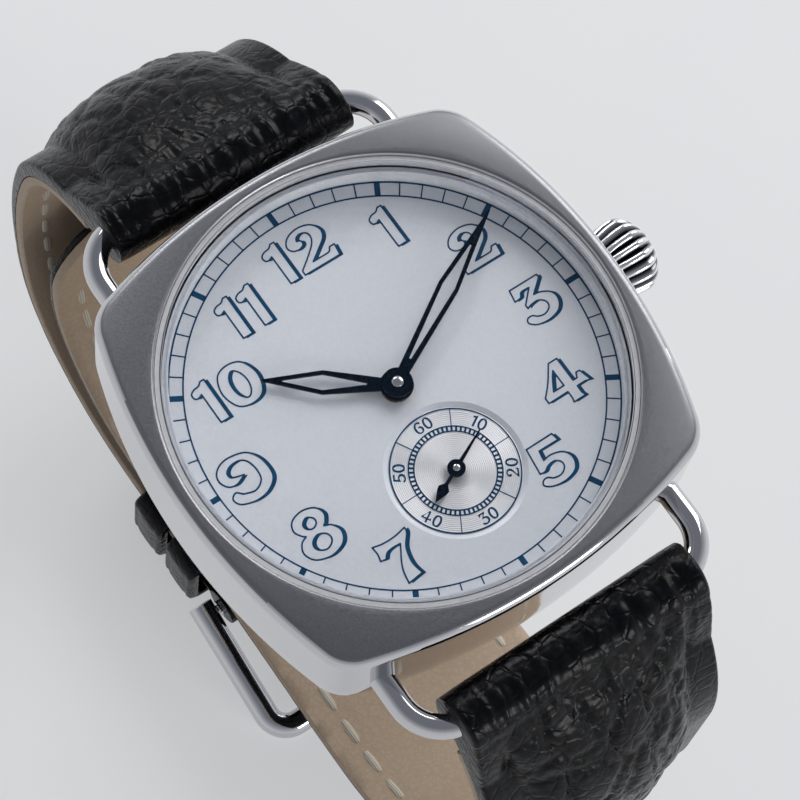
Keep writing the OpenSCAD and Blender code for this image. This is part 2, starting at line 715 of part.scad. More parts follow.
module pallet_bridge() {
    arm = pallet_foot - pallet_at;
    color("silver") difference() {
        union() {
            translate([0, 0, bridge_hi + 0.02]) linear_extrude(height = 0.26) {
                at(pallet_at) circle(r = 0.75);
                at(pallet_foot) circle(r = 0.7);
                at(pallet_at) rotate(atan2(arm[1], arm[0])) translate([0, -0.5]) square([norm(arm), 1]);
            }
            at(pallet_foot) disc(0.5, bridge_hi + 0.2, plate_lo);
        }
        at(pallet_at) disc(0.14 + run, 0, plate_lo);
    }
}
module bridge_screws() {
    color("steelblue") for (p = concat(barrel_feet, train_feet, balance_feet)) at(p) {
        disc(0.62, bridge_lo - 0.25, bridge_lo - 0.01);
        disc(0.33, bridge_lo - 0.01, plate_lo - 0.35);
    }
}

/* Train */
centre_to_barrel = heading(centre_at, barrel_at);
centre_to_third = heading(centre_at, third_pos);
third_to_fourth = heading(third_pos, fourth_at);
fourth_to_escape = heading(fourth_at, escape_at);
module mainspring_barrel() {
    color("goldenrod") at(barrel_at) difference() {
        union() {
            disc(drum_r, barrel_lo, barrel_hi);
            gear(barrel_teeth, barrel_m, barrel_lo + 0.25, 0.25,
                mesh(centre_to_barrel, centre_pinion, centre_to_barrel, barrel_teeth));
        }
        disc(drum_r - 0.2, barrel_lo + 0.15, barrel_hi + 1);
        disc(0.5, barrel_lo - 1, barrel_hi + 1);
    }
}
module barrel_cover() {
    color("goldenrod") at(barrel_at) tube(0.5, drum_r - 0.22, barrel_hi - 0.15, barrel_hi);
}
module barrel_arbor() {
    color("gray") at(barrel_at) {
        disc(0.3, bridge_lo + 0.1, plate_hi - 0.1);
        disc(0.42, barrel_lo - 0.02, barrel_hi + 0.02);
        disc(0.48, winding_hi - 0.3, winding_hi);
        disc(1.3, barrel_lo + 0.2, barrel_hi - 0.2);
    }
}
// A flat spiral ribbon from r0 to r1
function spiral_edge(r0, r1, turns, per, off) =
    [for (i = [0 : turns * per])
        let (s = i / (turns * per)) polar(r0 + (r1 - r0) * s + off, 360 * i / per)];
module spiral(r0, r1, turns, per, w, z, h) {
    outer = spiral_edge(r0, r1, turns, per, w / 2);
    inner = spiral_edge(r0, r1, turns, per, -w / 2);
    translate([0, 0, z]) linear_extrude(height = h)
        polygon(concat(outer, [for (i = [len(inner) - 1 : -1 : 0]) inner[i]]));
}
module mainspring() {
    color("slategray") at(barrel_at)
        spiral(1.45, drum_r - 0.35, 9, 16, 0.14, barrel_lo + 0.18, barrel_hi - barrel_lo - 0.36);
}
module centre_wheel() {
    color("goldenrod") {
        gear(centre_teeth, centre_m, centre_hi, wheel_t, centre_to_third, 5, 0.9);
        gear(centre_pinion, barrel_m, plate_lo - 0.03, 0.42, centre_to_barrel);
        arbor(0.6, centre_hi - 0.25, plate_lo - 0.4, centre_pivot_r, bridge_lo + 0.1, plate_hi + 0.42);
    }
}
module third_wheel() {
    color("goldenrod") at(third_pos) {
        gear(third_teeth, third_m, third_hi, wheel_t, third_to_fourth, 4, 0.7);
        gear(third_pinion, centre_m, plate_lo - 0.35, 0.55,
            mesh(centre_to_third, centre_teeth, centre_to_third, third_pinion));
        arbor(0.3, third_hi - 0.2, plate_lo - 0.05, 0.12, bridge_lo + 0.1, plate_hi - 0.1);
    }
}
module fourth_wheel() {
    color("goldenrod") at(fourth_at) {
        gear(fourth_teeth, fourth_m, fourth_hi, wheel_t, fourth_to_escape, 5, 0.8);
        gear(fourth_pinion, third_m, third_hi + 0.12, 0.45,
            mesh(third_to_fourth, third_teeth, third_to_fourth, fourth_pinion));
        arbor(0.3, third_hi - 0.35, plate_lo - 0.05, 0.12, bridge_lo + 0.1, plate_hi - 0.4);
        disc(seconds_pin_r, plate_lo - 0.1, seconds_z + hand_t + 0.1);
    }
}
module escape_wheel() {
    tooth = 360 / escape_teeth;
    color("lightgray") at(escape_at) {
        translate([0, 0, escape_hi - wheel_t]) linear_extrude(height = wheel_t) difference() {
            polygon([for (i = [0 : escape_teeth - 1]) each
                [polar(escape_r - 0.6, tooth * i), polar(escape_r, tooth * (i + 0.45)),
                 polar(escape_r, tooth * (i + 0.62)), polar(escape_r - 0.6, tooth * (i + 0.55))]]);
            for (i = [0 : 3]) polygon(window_points(0.6, escape_r - 0.85, 4, i, 0.25));
        }
        gear(escape_pinion, fourth_m, fourth_hi + 0.05, 0.4,
            mesh(fourth_to_escape, fourth_teeth, fourth_to_escape, escape_pinion));
        arbor(0.22, escape_hi - 0.4, plate_lo - 0.05, 0.12, bridge_lo + 0.1, plate_hi - 0.1);
    }
}
module pallet_fork() {
    color("lightgray") at(pallet_at) {
        rotate(to_balance + 180) translate([0, 0, escape_hi - wheel_t]) linear_extrude(height = wheel_t) {
            circle(r = 0.4);
            polygon([[-2.7, 0.14], [0, 0.25], [0, -0.25], [-2.7, -0.14]]);
            for (s = [-1, 1]) {
                polygon([[-0.3, s * 0.1], [0.45, s * 1.15], [0.1, s * 1.35], [-0.35, s * 0.9]]);
                polygon([[-2.6, s * 0.1], [-2.98, s * 0.22], [-2.98, s * 0.36], [-2.55, s * 0.3]]);
            }
        }
        disc(0.14, bridge_hi + 0.12, plate_hi - 0.1);
    }
}
module balance_wheel() {
    color("gold") at(balance_at) {
        tube(balance_r - 0.4, balance_r, balance_hi - 0.25, balance_hi);
        translate([0, 0, balance_hi - 0.2]) linear_extrude(height = 0.15) {
            circle(r = 0.6);
            for (a = [0, 60, 120]) rotate(a) square([2 * balance_r - 0.6, 0.4], center = true);
        }
        disc(0.7, balance_hi - 0.1, balance_hi + 0.1);
        disc(0.25, hairspring_hi - 0.15, balance_hi);
        rotate(to_balance + 180) translate([0.45, 0, 0]) disc(0.1, balance_hi, escape_hi + 0.05);
        disc(0.12, bridge_lo + 0.1, plate_hi - 0.1);
    }
}
module hairspring() {
    color("royalblue") at(balance_at) rotate(180)
        spiral(0.3, hairspring_r, 8, 16, 0.08, hairspring_hi - 0.12, 0.12);
}

/* Motion works */
minute_wheel_hi = plate_hi + 0.4;
hour_wheel_hi = plate_hi + 0.85;
module cannon_pinion() {
    color("gray") difference() {
        union() {
            gear(cannon_teeth, works_m, minute_wheel_hi + 0.05, 0.4, -20);
            disc(cannon_r, plate_hi + 0.05, minute_z + hand_t + 0.12);
        }
        disc(centre_pivot_r + run, plate_hi - 1, plate_hi + 0.45);
    }
}
module minute_wheel() {
    color("goldenrod") at(minute_at) difference() {
        union() {
            gear(minute_teeth, works_m, minute_wheel_hi, 0.25,
                mesh(-20, cannon_teeth, -20, minute_teeth), 4, 0.7);
            gear(minute_pinion, hour_m, hour_wheel_hi + 0.05, 0.5, 160);
        }
        disc(0.2, plate_hi - 1, dial_lo);
    }
}
module hour_wheel() {
    color("goldenrod") difference() {
        union() {
            gear(hour_teeth, hour_m, hour_wheel_hi, 0.2, -20 + 180 / hour_teeth, 5, 1.1);
            disc(hour_pipe_r, hour_wheel_hi - 0.25, hour_z + hand_t + 0.1);
        }
        disc(cannon_r + run, plate_hi - 1, case_top);
    }
}
module setting_wheel() {
    dir = heading(minute_at, setting_at);
    color("goldenrod") at(setting_at) gear(setting_teeth, works_m, minute_wheel_hi, 0.25,
        mesh(dir, minute_teeth, mesh(-20, cannon_teeth, -20, minute_teeth), setting_teeth), 0, 0.5, 0.2);
}

/* Strap */
// A strap half runs along straights and arcs: each run is [length, turn in degrees]
function turn_r(run) = run[0] / (run[1] * PI / 180);
function run_end(p, h, run) = abs(run[1]) < 0.01
    ? p + run[0] * [cos(h), sin(h)]
    : p + turn_r(run) * [sin(h + run[1]) - sin(h), cos(h) - cos(h + run[1])];
function way_point(runs, s, p, h, i = 0) =
    i >= len(runs) || s <= runs[i][0] || i == len(runs) - 1
        ? let (part = [s, runs[i][1] * s / runs[i][0]])
            concat(s < 0.0001 ? p : run_end(p, h, part), [h + part[1]])
        : way_point(runs, s - runs[i][0], run_end(p, h, runs[i]), h + runs[i][1], i + 1);
function total(runs, i = 0) = i >= len(runs) ? 0 : runs[i][0] + total(runs, i + 1);

// Lengths of the straps' straight leads, of the bends beside the lugs and of the flat ends
lead_12 = 4;
lead_6 = 3;
shoulder = 14;
flat_12 = 13.4;
flat_6 = 9;
// The short half: out from the wire, down the side, round, and flat along the bottom
side_12 = 21.3;
arc_12_r = 17.2;
runs_12 = [[lead_12, 0], [shoulder, lean_12 - 75], [side_12, -25],
    [arc_12_r * 80 * PI / 180, -80], [flat_12, 0]];
end_12 = way_point(runs_12, total(runs_12), [bar_y, 0], -lean_12);
strap_bottom = stem_z + end_12[1];
buckle_y = end_12[0];
// The long half: its tail lies inside the short half, a keeper's gap away
arc_6_r = 18.9;
tail_r = arc_12_r - strap_end_t - layer_gap - 0.2;
tail_z = -end_12[1] - (arc_12_r - tail_r);
side_6 = tail_z - arc_6_r - lead_6 * sin(lean_6)
    - shoulder / (90 - lean_6) * 180 / PI * cos(lean_6);
past_shoulder = run_end(run_end([bar_y, 0], -lean_6, [lead_6, 0]), -lean_6,
    [shoulder, lean_6 - 90]);
bottom_6 = past_shoulder[0] - arc_6_r + (end_12[0] + flat_12);
runs_6 = [[lead_6, 0], [shoulder, lean_6 - 90], [side_6, 0], [arc_6_r * PI / 2, -90],
    [bottom_6, 0], [tail_r * PI / 2, -90], [flat_6, 0]];

function blend_to(a, b, s) = a + (b - a) * (3 * s * s - 2 * s * s * s);
function thick_at(s, l) = blend_to(strap_t, strap_end_t, min(1, max(0, s / (0.62 * l))));
function wide_at(s, l) = strap_w + (strap_end_w - strap_w) * s / l;
// Height of the stitched edge: full at the fold round the wire, then thinning out
function edge_at(s, t) = blend_to(t - lining_t - 0.1, edge_t, min(1, s / fold_len));
// Section of the padded leather, from the lining's face up over the crown
function pad_section(w, t, edge) =
    let (lo = lining_t - t / 2, e = lo + edge, hw = w / 2, pad = hw - 2.4, n = 6)
    concat([[-hw, lo], [hw, lo], [hw, e], [hw - 2.1, e]],
        [for (i = [0 : n]) let (x = pad * (1 - 2 * i / n))
            [x, e + 0.05 + (t / 2 - e - 0.05) * sqrt(max(0, 1 - pow(x / (pad * 1.02), 2)))]],
        [[2.1 - hw, e], [-hw, e]]);
function lining_section(w, t) =
    [[-w / 2, -t / 2], [w / 2, -t / 2], [w / 2, lining_t - t / 2], [-w / 2, lining_t - t / 2]];
// Rings of a section along a half, at every station between two of them. Both layers use the same
// stations, so that their faces meet. The last tip millimetres are rounded off.
station = 1.67;
function strap_rings(runs, lean, first, last, pad, tip = 0) =
    let (l = total(runs), n = round(l / station))
    [for (i = [first : n - last])
        let (s = l * i / n, w = way_point(runs, s, [bar_y, 0], -lean), h = w[2],
            near = tip > 0 ? min(1, max(0.05, (l - s + 0.3) / tip)) : 1,
            width = wide_at(s, l) * sqrt(1 - pow(1 - near, 2)),
            t = thick_at(s, l),
            sec = pad ? pad_section(width, t, edge_at(s, t)) : lining_section(width, t),
            n = len(sec))
        [for (j = [n - 1 : -1 : 0]) let (q = sec[j])
            [q[0], w[0] - q[1] * sin(h), stem_z + w[1] + q[1] * cos(h)]]];
// The leather folded round the lug wire, bored for it and opened out where the wire bends
module eye(runs, lean, tip) {
    r = strap_t / 2 + 0.1;
    hw = strap_w / 2;
    flare = hw - 1.8;
    difference() {
        union() {
            loft(strap_rings(runs, lean, 0, 0, true, tip));
            translate([-hw, bar_y, stem_z]) rotate([0, 90, 0]) cylinder(r = r, h = 2 * hw);
        }
        translate([-hw - 1, bar_y, stem_z]) rotate([0, 90, 0])
            cylinder(r = wire_r + run + 0.03, h = 2 * hw + 2);
        for (s = [0, 1]) mirror([s, 0, 0]) translate([flare, bar_y, stem_z]) rotate([0, 90, 0])
            cylinder(r1 = wire_r + run + 0.03, r2 = wire_r + 1, h = 2.2);
        children();
    }
}
module strap_12() {
    color("black") difference() {
        union() {
            eye(runs_12, lean_12, 0);
            translate([-strap_end_w / 2, buckle_y, strap_bottom]) rotate([0, 90, 0])
                cylinder(r = bar_r + run + 0.95, h = strap_end_w);
        }
        translate([-strap_end_w, buckle_y, strap_bottom]) rotate([0, 90, 0])
            cylinder(r = bar_r + run, h = 2 * strap_end_w);
        translate([-1.3, buckle_y - 3, strap_bottom - 3]) cube([2.6, 5.6, 6]);
    }
}
module strap_12_lining() {
    color("tan") loft(strap_rings(runs_12, lean_12, 2, 2, false));
}
// Distance from the wire to the first adjustment hole, and the length of the rounded tip
hole_first = 74;
tip_len = 8;
module tail_holes() {
    for (i = [0 : 4]) {
        w = way_point(runs_6, hole_first + i * hole_pitch, [bar_y, 0], -lean_6);
        translate([0, w[0], stem_z + w[1]]) rotate([w[2], 0, 0])
            cylinder(r = hole_r, h = 8, center = true, $fn = 24);
    }
}
module strap_6() {
    color("black") mirror([0, 1, 0]) eye(runs_6, lean_6, tip_len) tail_holes();
}
module strap_6_lining() {
    color("tan") mirror([0, 1, 0]) difference() {
        loft(strap_rings(runs_6, lean_6, 2, 0, false, tip_len));
        tail_holes();
    }
}

/* Buckle and keepers */
module rounded_rect(w, h, r) {
    square([w - 2 * r, h], center = true);
    square([w, h - 2 * r], center = true);
    for (x = [-1, 1], y = [-1, 1]) translate([x * (w / 2 - r), y * (h / 2 - r)]) circle(r = r, $fn = 32);
}
// A keeper goes round the short half and leaves room below it for the tail
module keeper(y) {
    w = wide_at(total(runs_12) - (y - buckle_y), total(runs_12)) + 2 * keeper_ease;
    h = 2 * strap_end_t + 2 * keeper_ease;
    mid = strap_bottom + (strap_end_t - h) / 2 + keeper_ease;
    translate([0, y + keeper_w / 2, mid]) rotate([90, 0, 0]) linear_extrude(height = keeper_w)
        difference() {
            rounded_rect(w + 2 * keeper_t, h + 2 * keeper_t, 1);
            rounded_rect(w, h, 0.3);
        }
}
fixed_keeper_y = buckle_y + 5;
free_keeper_y = fixed_keeper_y + keeper_w + 0.8;
module fixed_keeper() {
    color("black") keeper(fixed_keeper_y);
}
module free_keeper() {
    color("black") keeper(free_keeper_y);
}
floor_z = strap_bottom - 1.5 * strap_end_t - keeper_ease - keeper_t;
arm_x = strap_end_w / 2 + buckle_gap + rod_r;
front_y = buckle_y - buckle_len;
front_z = floor_z + rod_r;
buckle_bend = 2;
module buckle_frame() {
    tilt = atan2(strap_bottom - front_z, buckle_len);
    reach = buckle_len / cos(tilt);
    color("silver") translate([0, buckle_y, strap_bottom]) rotate([tilt, 0, 0]) difference() {
        union() {
            for (s = [0, 1]) mirror([s, 0, 0]) {
                translate([arm_x, 1, 0]) rotate([90, 0, 0]) rod(rod_r, reach - buckle_bend + 1);
                translate([arm_x - buckle_bend, buckle_bend - reach, 0]) rotate(-90)
                    elbow(rod_r, buckle_bend);
            }
            translate([buckle_bend - arm_x, -reach, 0]) rotate([0, 90, 0])
                rod(rod_r, 2 * (arm_x - buckle_bend));
        }
        translate([-arm_x - 0.4, 0, 0]) rotate([0, 90, 0]) cylinder(r = bar_r * 0.6, h = 2 * arm_x + 0.8);
        translate([-1.2, -reach - 3, -3]) cube([2.4, 6, 3 - 0.1]);
    }
}
module buckle_bar() {
    long = strap_end_w + 2 * buckle_gap - 0.2;
    color("gray") translate([0, buckle_y, strap_bottom]) rotate([0, 90, 0]) {
        translate([0, 0, -long / 2]) cylinder(r = bar_r, h = long);
        translate([0, 0, 0.3 - arm_x]) cylinder(r = bar_r * 0.6 - fit, h = 2 * arm_x - 0.6);
    }
}
module buckle_tongue() {
    tip_y = front_y - 0.6;
    color("silver") difference() {
        union() {
            translate([-0.9, buckle_y, strap_bottom]) rotate([0, 90, 0])
                cylinder(r = bar_r + 0.75, h = 1.8);
            translate([-0.9, 0, 0]) rotate([90, 0, 90]) linear_extrude(height = 1.8)
                polygon([[buckle_y, strap_bottom + 0.7], [buckle_y - 1, strap_bottom + 0.5],
                    [front_y + 2, floor_z + 1.05], [tip_y, floor_z + 0.8], [tip_y, floor_z + 0.15],
                    [front_y + 2, floor_z + 0.15], [buckle_y - 1, strap_bottom - 1.1],
                    [buckle_y, strap_bottom - 1.2]]);
        }
        translate([-2, buckle_y, strap_bottom]) rotate([0, 90, 0]) cylinder(r = bar_r + run, h = 4);
    }
}

case_middle();
case_back();
back_gasket();
crystal();
crystal_gasket();
flange_ring();
lug_wire_12();
lug_wire_6();
dial();
seconds_dial();
hour_hand();
minute_hand();
seconds_hand();
crown();
crown_gasket();
crown_tube();
winding_stem();
winding_pinion();
sliding_pinion();
setting_lever();
yoke();
crown_wheel();
ratchet_wheel();
click();
click_spring();
movement_ring();
casing_clamps();
main_plate();
plate_jewels();
bridge_jewels();
barrel_bridge();
train_bridge();
balance_cock();
pallet_bridge();
bridge_screws();
mainspring_barrel();
barrel_cover();
barrel_arbor();
mainspring();
centre_wheel();
third_wheel();
fourth_wheel();
escape_wheel();
pallet_fork();
balance_wheel();
hairspring();
cannon_pinion();
minute_wheel();
hour_wheel();
setting_wheel();
strap_12();
strap_12_lining();
strap_6();
strap_6_lining();
fixed_keeper();
free_keeper();
buckle_frame();
buckle_bar();
buckle_tongue();
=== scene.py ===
import math
import bmesh
import bpy
import numpy as np
from mathutils import Matrix, Vector, noise


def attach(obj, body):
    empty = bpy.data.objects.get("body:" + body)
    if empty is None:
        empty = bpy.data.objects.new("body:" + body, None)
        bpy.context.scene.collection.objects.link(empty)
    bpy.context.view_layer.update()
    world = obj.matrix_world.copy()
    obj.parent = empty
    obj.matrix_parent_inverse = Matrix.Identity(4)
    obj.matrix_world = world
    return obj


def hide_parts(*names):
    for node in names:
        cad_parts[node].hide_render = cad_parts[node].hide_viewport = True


# Looks for the cushion-case wristwatch. Lengths are in millimetres up to the mesh builders.
# +X points to 3 o'clock, +Y to 12 o'clock and +Z out of the dial, as in the part's source.
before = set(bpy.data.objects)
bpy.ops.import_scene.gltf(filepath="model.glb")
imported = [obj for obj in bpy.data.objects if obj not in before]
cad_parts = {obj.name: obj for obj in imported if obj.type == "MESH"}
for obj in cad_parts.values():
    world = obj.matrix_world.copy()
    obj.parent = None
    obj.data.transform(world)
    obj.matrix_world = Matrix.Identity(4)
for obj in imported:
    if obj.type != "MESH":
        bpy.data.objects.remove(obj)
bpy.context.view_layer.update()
MM = 0.001


# ---- Dimensions repeated from the part's source ----
CASE_HALF, SIDE_R, CORNER_R = 18.2, 45.0, 3.3
CASE_LO, CASE_TOP, TOP_EDGE_R, TOP_DROOP = 0.6, 9.6, 0.7, 0.45
RIM_R, BEZEL_BORE, SEAT_Z = 17.25, 17.0, 8.0
DIAL_BORE, DIAL_LO, DIAL_Z = 16.6, 6.1, 6.5
RING_BORE, SHELF_Z, BACK_BORE = 13.4, 2.0, 14.25
CRYSTAL_R, CRYSTAL_T, DOME, EDGE_TALL = 16.6, 1.3, 1.2, 1.4
EDGE_Z = SEAT_Z + EDGE_TALL
SECONDS_AT, SECONDS_Z = (0.0, -7.26), 6.3
SECONDS_PIN_TOP, CANNON_TOP = 6.93, 7.73
STEM_Z, CROWN_X, CROWN_R, CROWN_LEN, FLUTES, FLUTE_D = 4.4, 18.5, 3.0, 4.0, 20, 0.36
WIRE_R, LEG_X, BAR_Y, BEND_R, LEG_END = 0.9, 12.4, 22.0, 3.4, 14.262
STRAP_W, STRAP_END_W, STRAP_T, STRAP_END_T = 20.4, 18.6, 4.6, 2.4
LINING_T, EDGE_T, TIP_LEN = 0.8, 0.7, 8.0
LEAN_12, LEAN_6 = 20.0, 45.0
RUNS_12 = [(4, 0), (14, -55), (21.3, -25), (24.0157, -80), (13.4, 0)]
RUNS_6 = [(3, 0), (14, -45), (8.697, 0), (29.688, -90), (29.283, 0), (20.263, -90), (9, 0)]
HOLE_FIRST, HOLE_PITCH, HOLE_R, HOLES = 74.0, 6.5, 0.95, 5
STRAP_BOTTOM, BUCKLE_Y, FLOOR_Z = -42.2228, 5.4411, -47.0728
ROD_R, ARM_X, BUCKLE_LEN, BUCKLE_BEND = 1.1, 10.8, 11.3, 2.0
KEEPER_W, KEEPER_T, KEEPER_EASE, TONGUE_SLOT = 4.0, 1.1, 0.15, 2.6
KEEPER_Y = {"fixed_keeper": 10.4411, "free_keeper": 15.2411}


# ---- Mesh helpers ----
def cosd(degrees):
    return math.cos(math.radians(degrees))


def sind(degrees):
    return math.sin(math.radians(degrees))


def closed_mesh(name, points, faces):
    """A mesh over points in millimetres whose faces all look outwards."""
    mesh = bpy.data.meshes.new(name)
    mesh.from_pydata([tuple(p) for p in np.asarray(points, float) * MM], [], faces)
    bm = bmesh.new()
    bm.from_mesh(mesh)
    bmesh.ops.recalc_face_normals(bm, faces=bm.faces)
    bm.to_mesh(mesh)
    bm.free()
    return mesh


def smooth(mesh, sharp):
    """Smooth shading, apart from edges that turn by more than sharp degrees."""
    mesh.shade_smooth()
    mesh.set_sharp_from_angle(angle=math.radians(sharp))


def placed(name, data):
    obj = bpy.data.objects.new(name, data)
    bpy.context.scene.collection.objects.link(obj)
    return obj


def piece(name, shape, material, body, hides=(), sharp=40):
    """One visible piece on its body. It stands in for the CAD nodes that it hides."""
    mesh = closed_mesh(name, *shape)
    smooth(mesh, sharp)
    obj = placed(name, mesh)
    mesh.materials.append(material)
    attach(obj, body)
    if hides:
        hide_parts(*hides)
    return obj


def skin(rings, loop=False):
    """Points and faces of a closed surface over rings with the same number of points each."""
    rings = np.asarray(rings, float)
    m, n, _ = rings.shape
    faces = []
    for i in range(m if loop else m - 1):
        k = (i + 1) % m
        for j in range(n):
            l = (j + 1) % n
            faces.append((i * n + j, i * n + l, k * n + l, k * n + j))
    if not loop:
        faces.append(tuple(range(n - 1, -1, -1)))
        faces.append(tuple((m - 1) * n + j for j in range(n)))
    return rings.reshape(-1, 3), faces


def join(parts):
    """Several meshes as one."""
    points, faces, base = [], [], 0
    for p, f in parts:
        points.append(np.asarray(p, float))
        faces += [tuple(base + i for i in face) for face in f]
        base += len(p)
    return np.concatenate(points), faces


def circle(n):
    """The angles of n points round a circle."""
    return np.linspace(0, 2 * math.pi, n + 1)[:-1]


def revolve(profile, n=192, centre=(0, 0)):
    """A closed profile of (radius, z) turned about a vertical axis."""
    return skin([[(centre[0] + r * math.cos(a), centre[1] + r * math.sin(a), z)
                  for r, z in profile] for a in circle(n)], loop=True)


def band(r_in, r_out, z0, z1, centre=(0, 0), n=240):
    """A flat ring."""
    return revolve([(r_in, z0), (r_out, z0), (r_out, z1), (r_in, z1)], n, centre)


def box_bar(p, q, width, z0, z1):
    """A flat bar from p to q."""
    p, q = np.array(p, float), np.array(q, float)
    d = (q - p) / np.linalg.norm(q - p)
    s = np.array((-d[1], d[0])) * width / 2
    flat = [p - s, q - s, q + s, p + s]
    return skin([[(x, y, z0) for x, y in flat], [(x, y, z1) for x, y in flat]])


def clock(r, minutes):
    """The place at the radius r where a hand points at that minute."""
    return r * cosd(90 - 6 * minutes), r * sind(90 - 6 * minutes)


def sweep(path, radius, n=28):
    """A round rod along a flat path, with slightly rounded ends."""
    path = np.asarray(path, float)
    t = np.gradient(path, axis=0)
    t /= np.linalg.norm(t, axis=1)[:, None]
    up = np.array((0.0, 0.0, 1.0))
    rings = []
    for p, d in zip(path, t):
        side = np.cross(up, d)
        side /= np.linalg.norm(side)
        rings.append([p + radius * (math.cos(a) * side + math.sin(a) * up) for a in circle(n)])
    start = path[0] + (np.array(rings[0]) - path[0]) * 0.8
    end = path[-1] + (np.array(rings[-1]) - path[-1]) * 0.8
    return skin([start] + rings + [end])


def cut(obj, parts, sharp=45):
    """Cuts a set of closed shapes out of a piece and keeps the result as its mesh."""
    cutter = placed("cutter", closed_mesh("cutter", *join(parts)))
    modifier = obj.modifiers.new("cut", "BOOLEAN")
    modifier.operation = "DIFFERENCE"
    modifier.solver = "EXACT"
    modifier.object = cutter
    bpy.context.view_layer.update()
    graph = bpy.context.evaluated_depsgraph_get()
    result = bpy.data.meshes.new_from_object(obj.evaluated_get(graph))
    obj.modifiers.clear()
    obj.data = result
    bpy.data.objects.remove(cutter)
    smooth(result, sharp)


# ---- Materials ----
GRAIN_DEEP = 0.01


def put(node, settings):
    """Sets a node's inputs or properties by name."""
    for key, value in settings.items():
        label = key.replace("_", " ")
        if label in node.inputs:
            node.inputs[label].default_value = value
        else:
            setattr(node, key, value)


def material(name, colour, metallic=0.0, roughness=0.5, **sockets):
    """A material with a Principled shader. Further sockets are set by their names."""
    mat = bpy.data.materials.new(name)
    mat.use_nodes = True
    shader = mat.node_tree.nodes["Principled BSDF"]
    put(shader, dict(sockets, Base_Color=(*colour, 1), Metallic=metallic, Roughness=roughness))
    return mat, shader


def link(mat, source, socket):
    mat.node_tree.links.new(source, socket)


def add(mat, kind, links=(), **settings):
    """Adds a node with its settings and links (socket, input) pairs."""
    node = mat.node_tree.nodes.new("ShaderNode" + kind)
    put(node, settings)
    for source, target in links:
        link(mat, source, node.inputs[target])
    return node


def maths(mat, operation, first, second=0.0):
    """The output of a Math node over sockets or numbers."""
    node = add(mat, "Math", operation=operation)
    for i, value in enumerate((first, second)):
        if isinstance(value, (int, float)):
            node.inputs[i].default_value = value
        else:
            link(mat, value, node.inputs[i])
    return node.outputs[0]


def place(mat, scale=(1, 1, 1)):
    """Object coordinates, stretched."""
    coords = add(mat, "TexCoord").outputs["Object"]
    return add(mat, "Mapping", [(coords, "Vector")], Scale=scale).outputs["Vector"]


def grain_of(mat, scale, detail, where=None):
    """Fractal noise over object coordinates."""
    return add(mat, "TexNoise", [(where or place(mat), "Vector")], Scale=scale,
               Detail=detail).outputs["Fac"]


def set_ramp(node, stops):
    ends = node.color_ramp.elements
    for end, (position, colour) in zip((ends[0], ends[1]), (stops[0], stops[-1])):
        end.position = position
        end.color = (*colour, 1)
    for position, colour in stops[1:-1]:
        ends.new(position).color = (*colour, 1)


def colours(mat, shader, factor, stops):
    """Base colour from a ramp over (position, colour) stops."""
    ramp = add(mat, "ValToRGB", [(factor, "Fac")])
    set_ramp(ramp, stops)
    link(mat, ramp.outputs["Color"], shader.inputs["Base Color"])


def spread(mat, factor, low, high, source=(0.3, 0.7)):
    """The factor's source range carried over to low..high."""
    return add(mat, "MapRange", [(factor, "Value")], From_Min=source[0],
               From_Max=source[1], To_Min=low, To_Max=high).outputs["Result"]


def roughen(mat, shader, factor, low, high):
    link(mat, spread(mat, factor, low, high), shader.inputs["Roughness"])


def mixed(mat, factor, first, second, output="Material Output"):
    """Makes the surface a mix of two shaders."""
    both = add(mat, "MixShader",
               [(factor, 0), (first.outputs[0], 1), (second.outputs[0], 2)])
    link(mat, both.outputs[0], mat.node_tree.nodes[output].inputs["Surface"])


def bump(mat, shader, height, strength, distance, under=None):
    """Bump of a depth in millimetres, over the bump under it if there is one."""
    node = add(mat, "Bump", [(height, "Height")], Strength=strength,
               Distance=distance * MM)
    if under:
        link(mat, under, node.inputs["Normal"])
    link(mat, node.outputs["Normal"], shader.inputs["Normal"])
    return node.outputs["Normal"]


def metal(name, colour, rough, stretch=(1, 1, 1), grain=0.1, scale=2500, vary=0.12):
    """Metal with fine grain: roughness and colour vary a little and the grain shows as bump."""
    mat, shader = material(name, colour, 1.0, rough)
    fine = grain_of(mat, scale, 4, place(mat, stretch))
    dark = tuple(c * (1 - vary) for c in colour)
    colours(mat, shader, grain_of(mat, 160, 3), [(0.3, dark), (0.7, colour)])
    roughen(mat, shader, fine, rough * 0.8, rough * 1.25)
    bump(mat, shader, fine, grain, GRAIN_DEEP)
    return mat


polished = metal("polished_steel", (0.64, 0.64, 0.66), 0.07, grain=0.02, vary=0.03)
# The satin top's colour sits well below the steel's own: painted shade standing in for dark
# reflections.
satin = metal("satin_steel_painted_shade", (0.28, 0.285, 0.3), 0.36, (1, 1, 1), 0.02, 9000, 0.01)
bezel_wall = metal("bezel_steel", (0.62, 0.63, 0.65), 0.42, (1, 1, 20), 0.03, 900, 0.03)
brushed = metal("brushed_steel", (0.5, 0.51, 0.53), 0.3, (1, 18, 1), 0.25, 900)
blued = metal("blued_steel", (0.004, 0.016, 0.032), 0.26, grain=0.05, vary=0.4)
brass = metal("gilt_brass", (0.72, 0.5, 0.2), 0.24, (1, 1, 14), 0.12, 1500)
plated = metal("plated_brass", (0.62, 0.61, 0.57), 0.28, (1, 14, 1), 0.2, 1200)


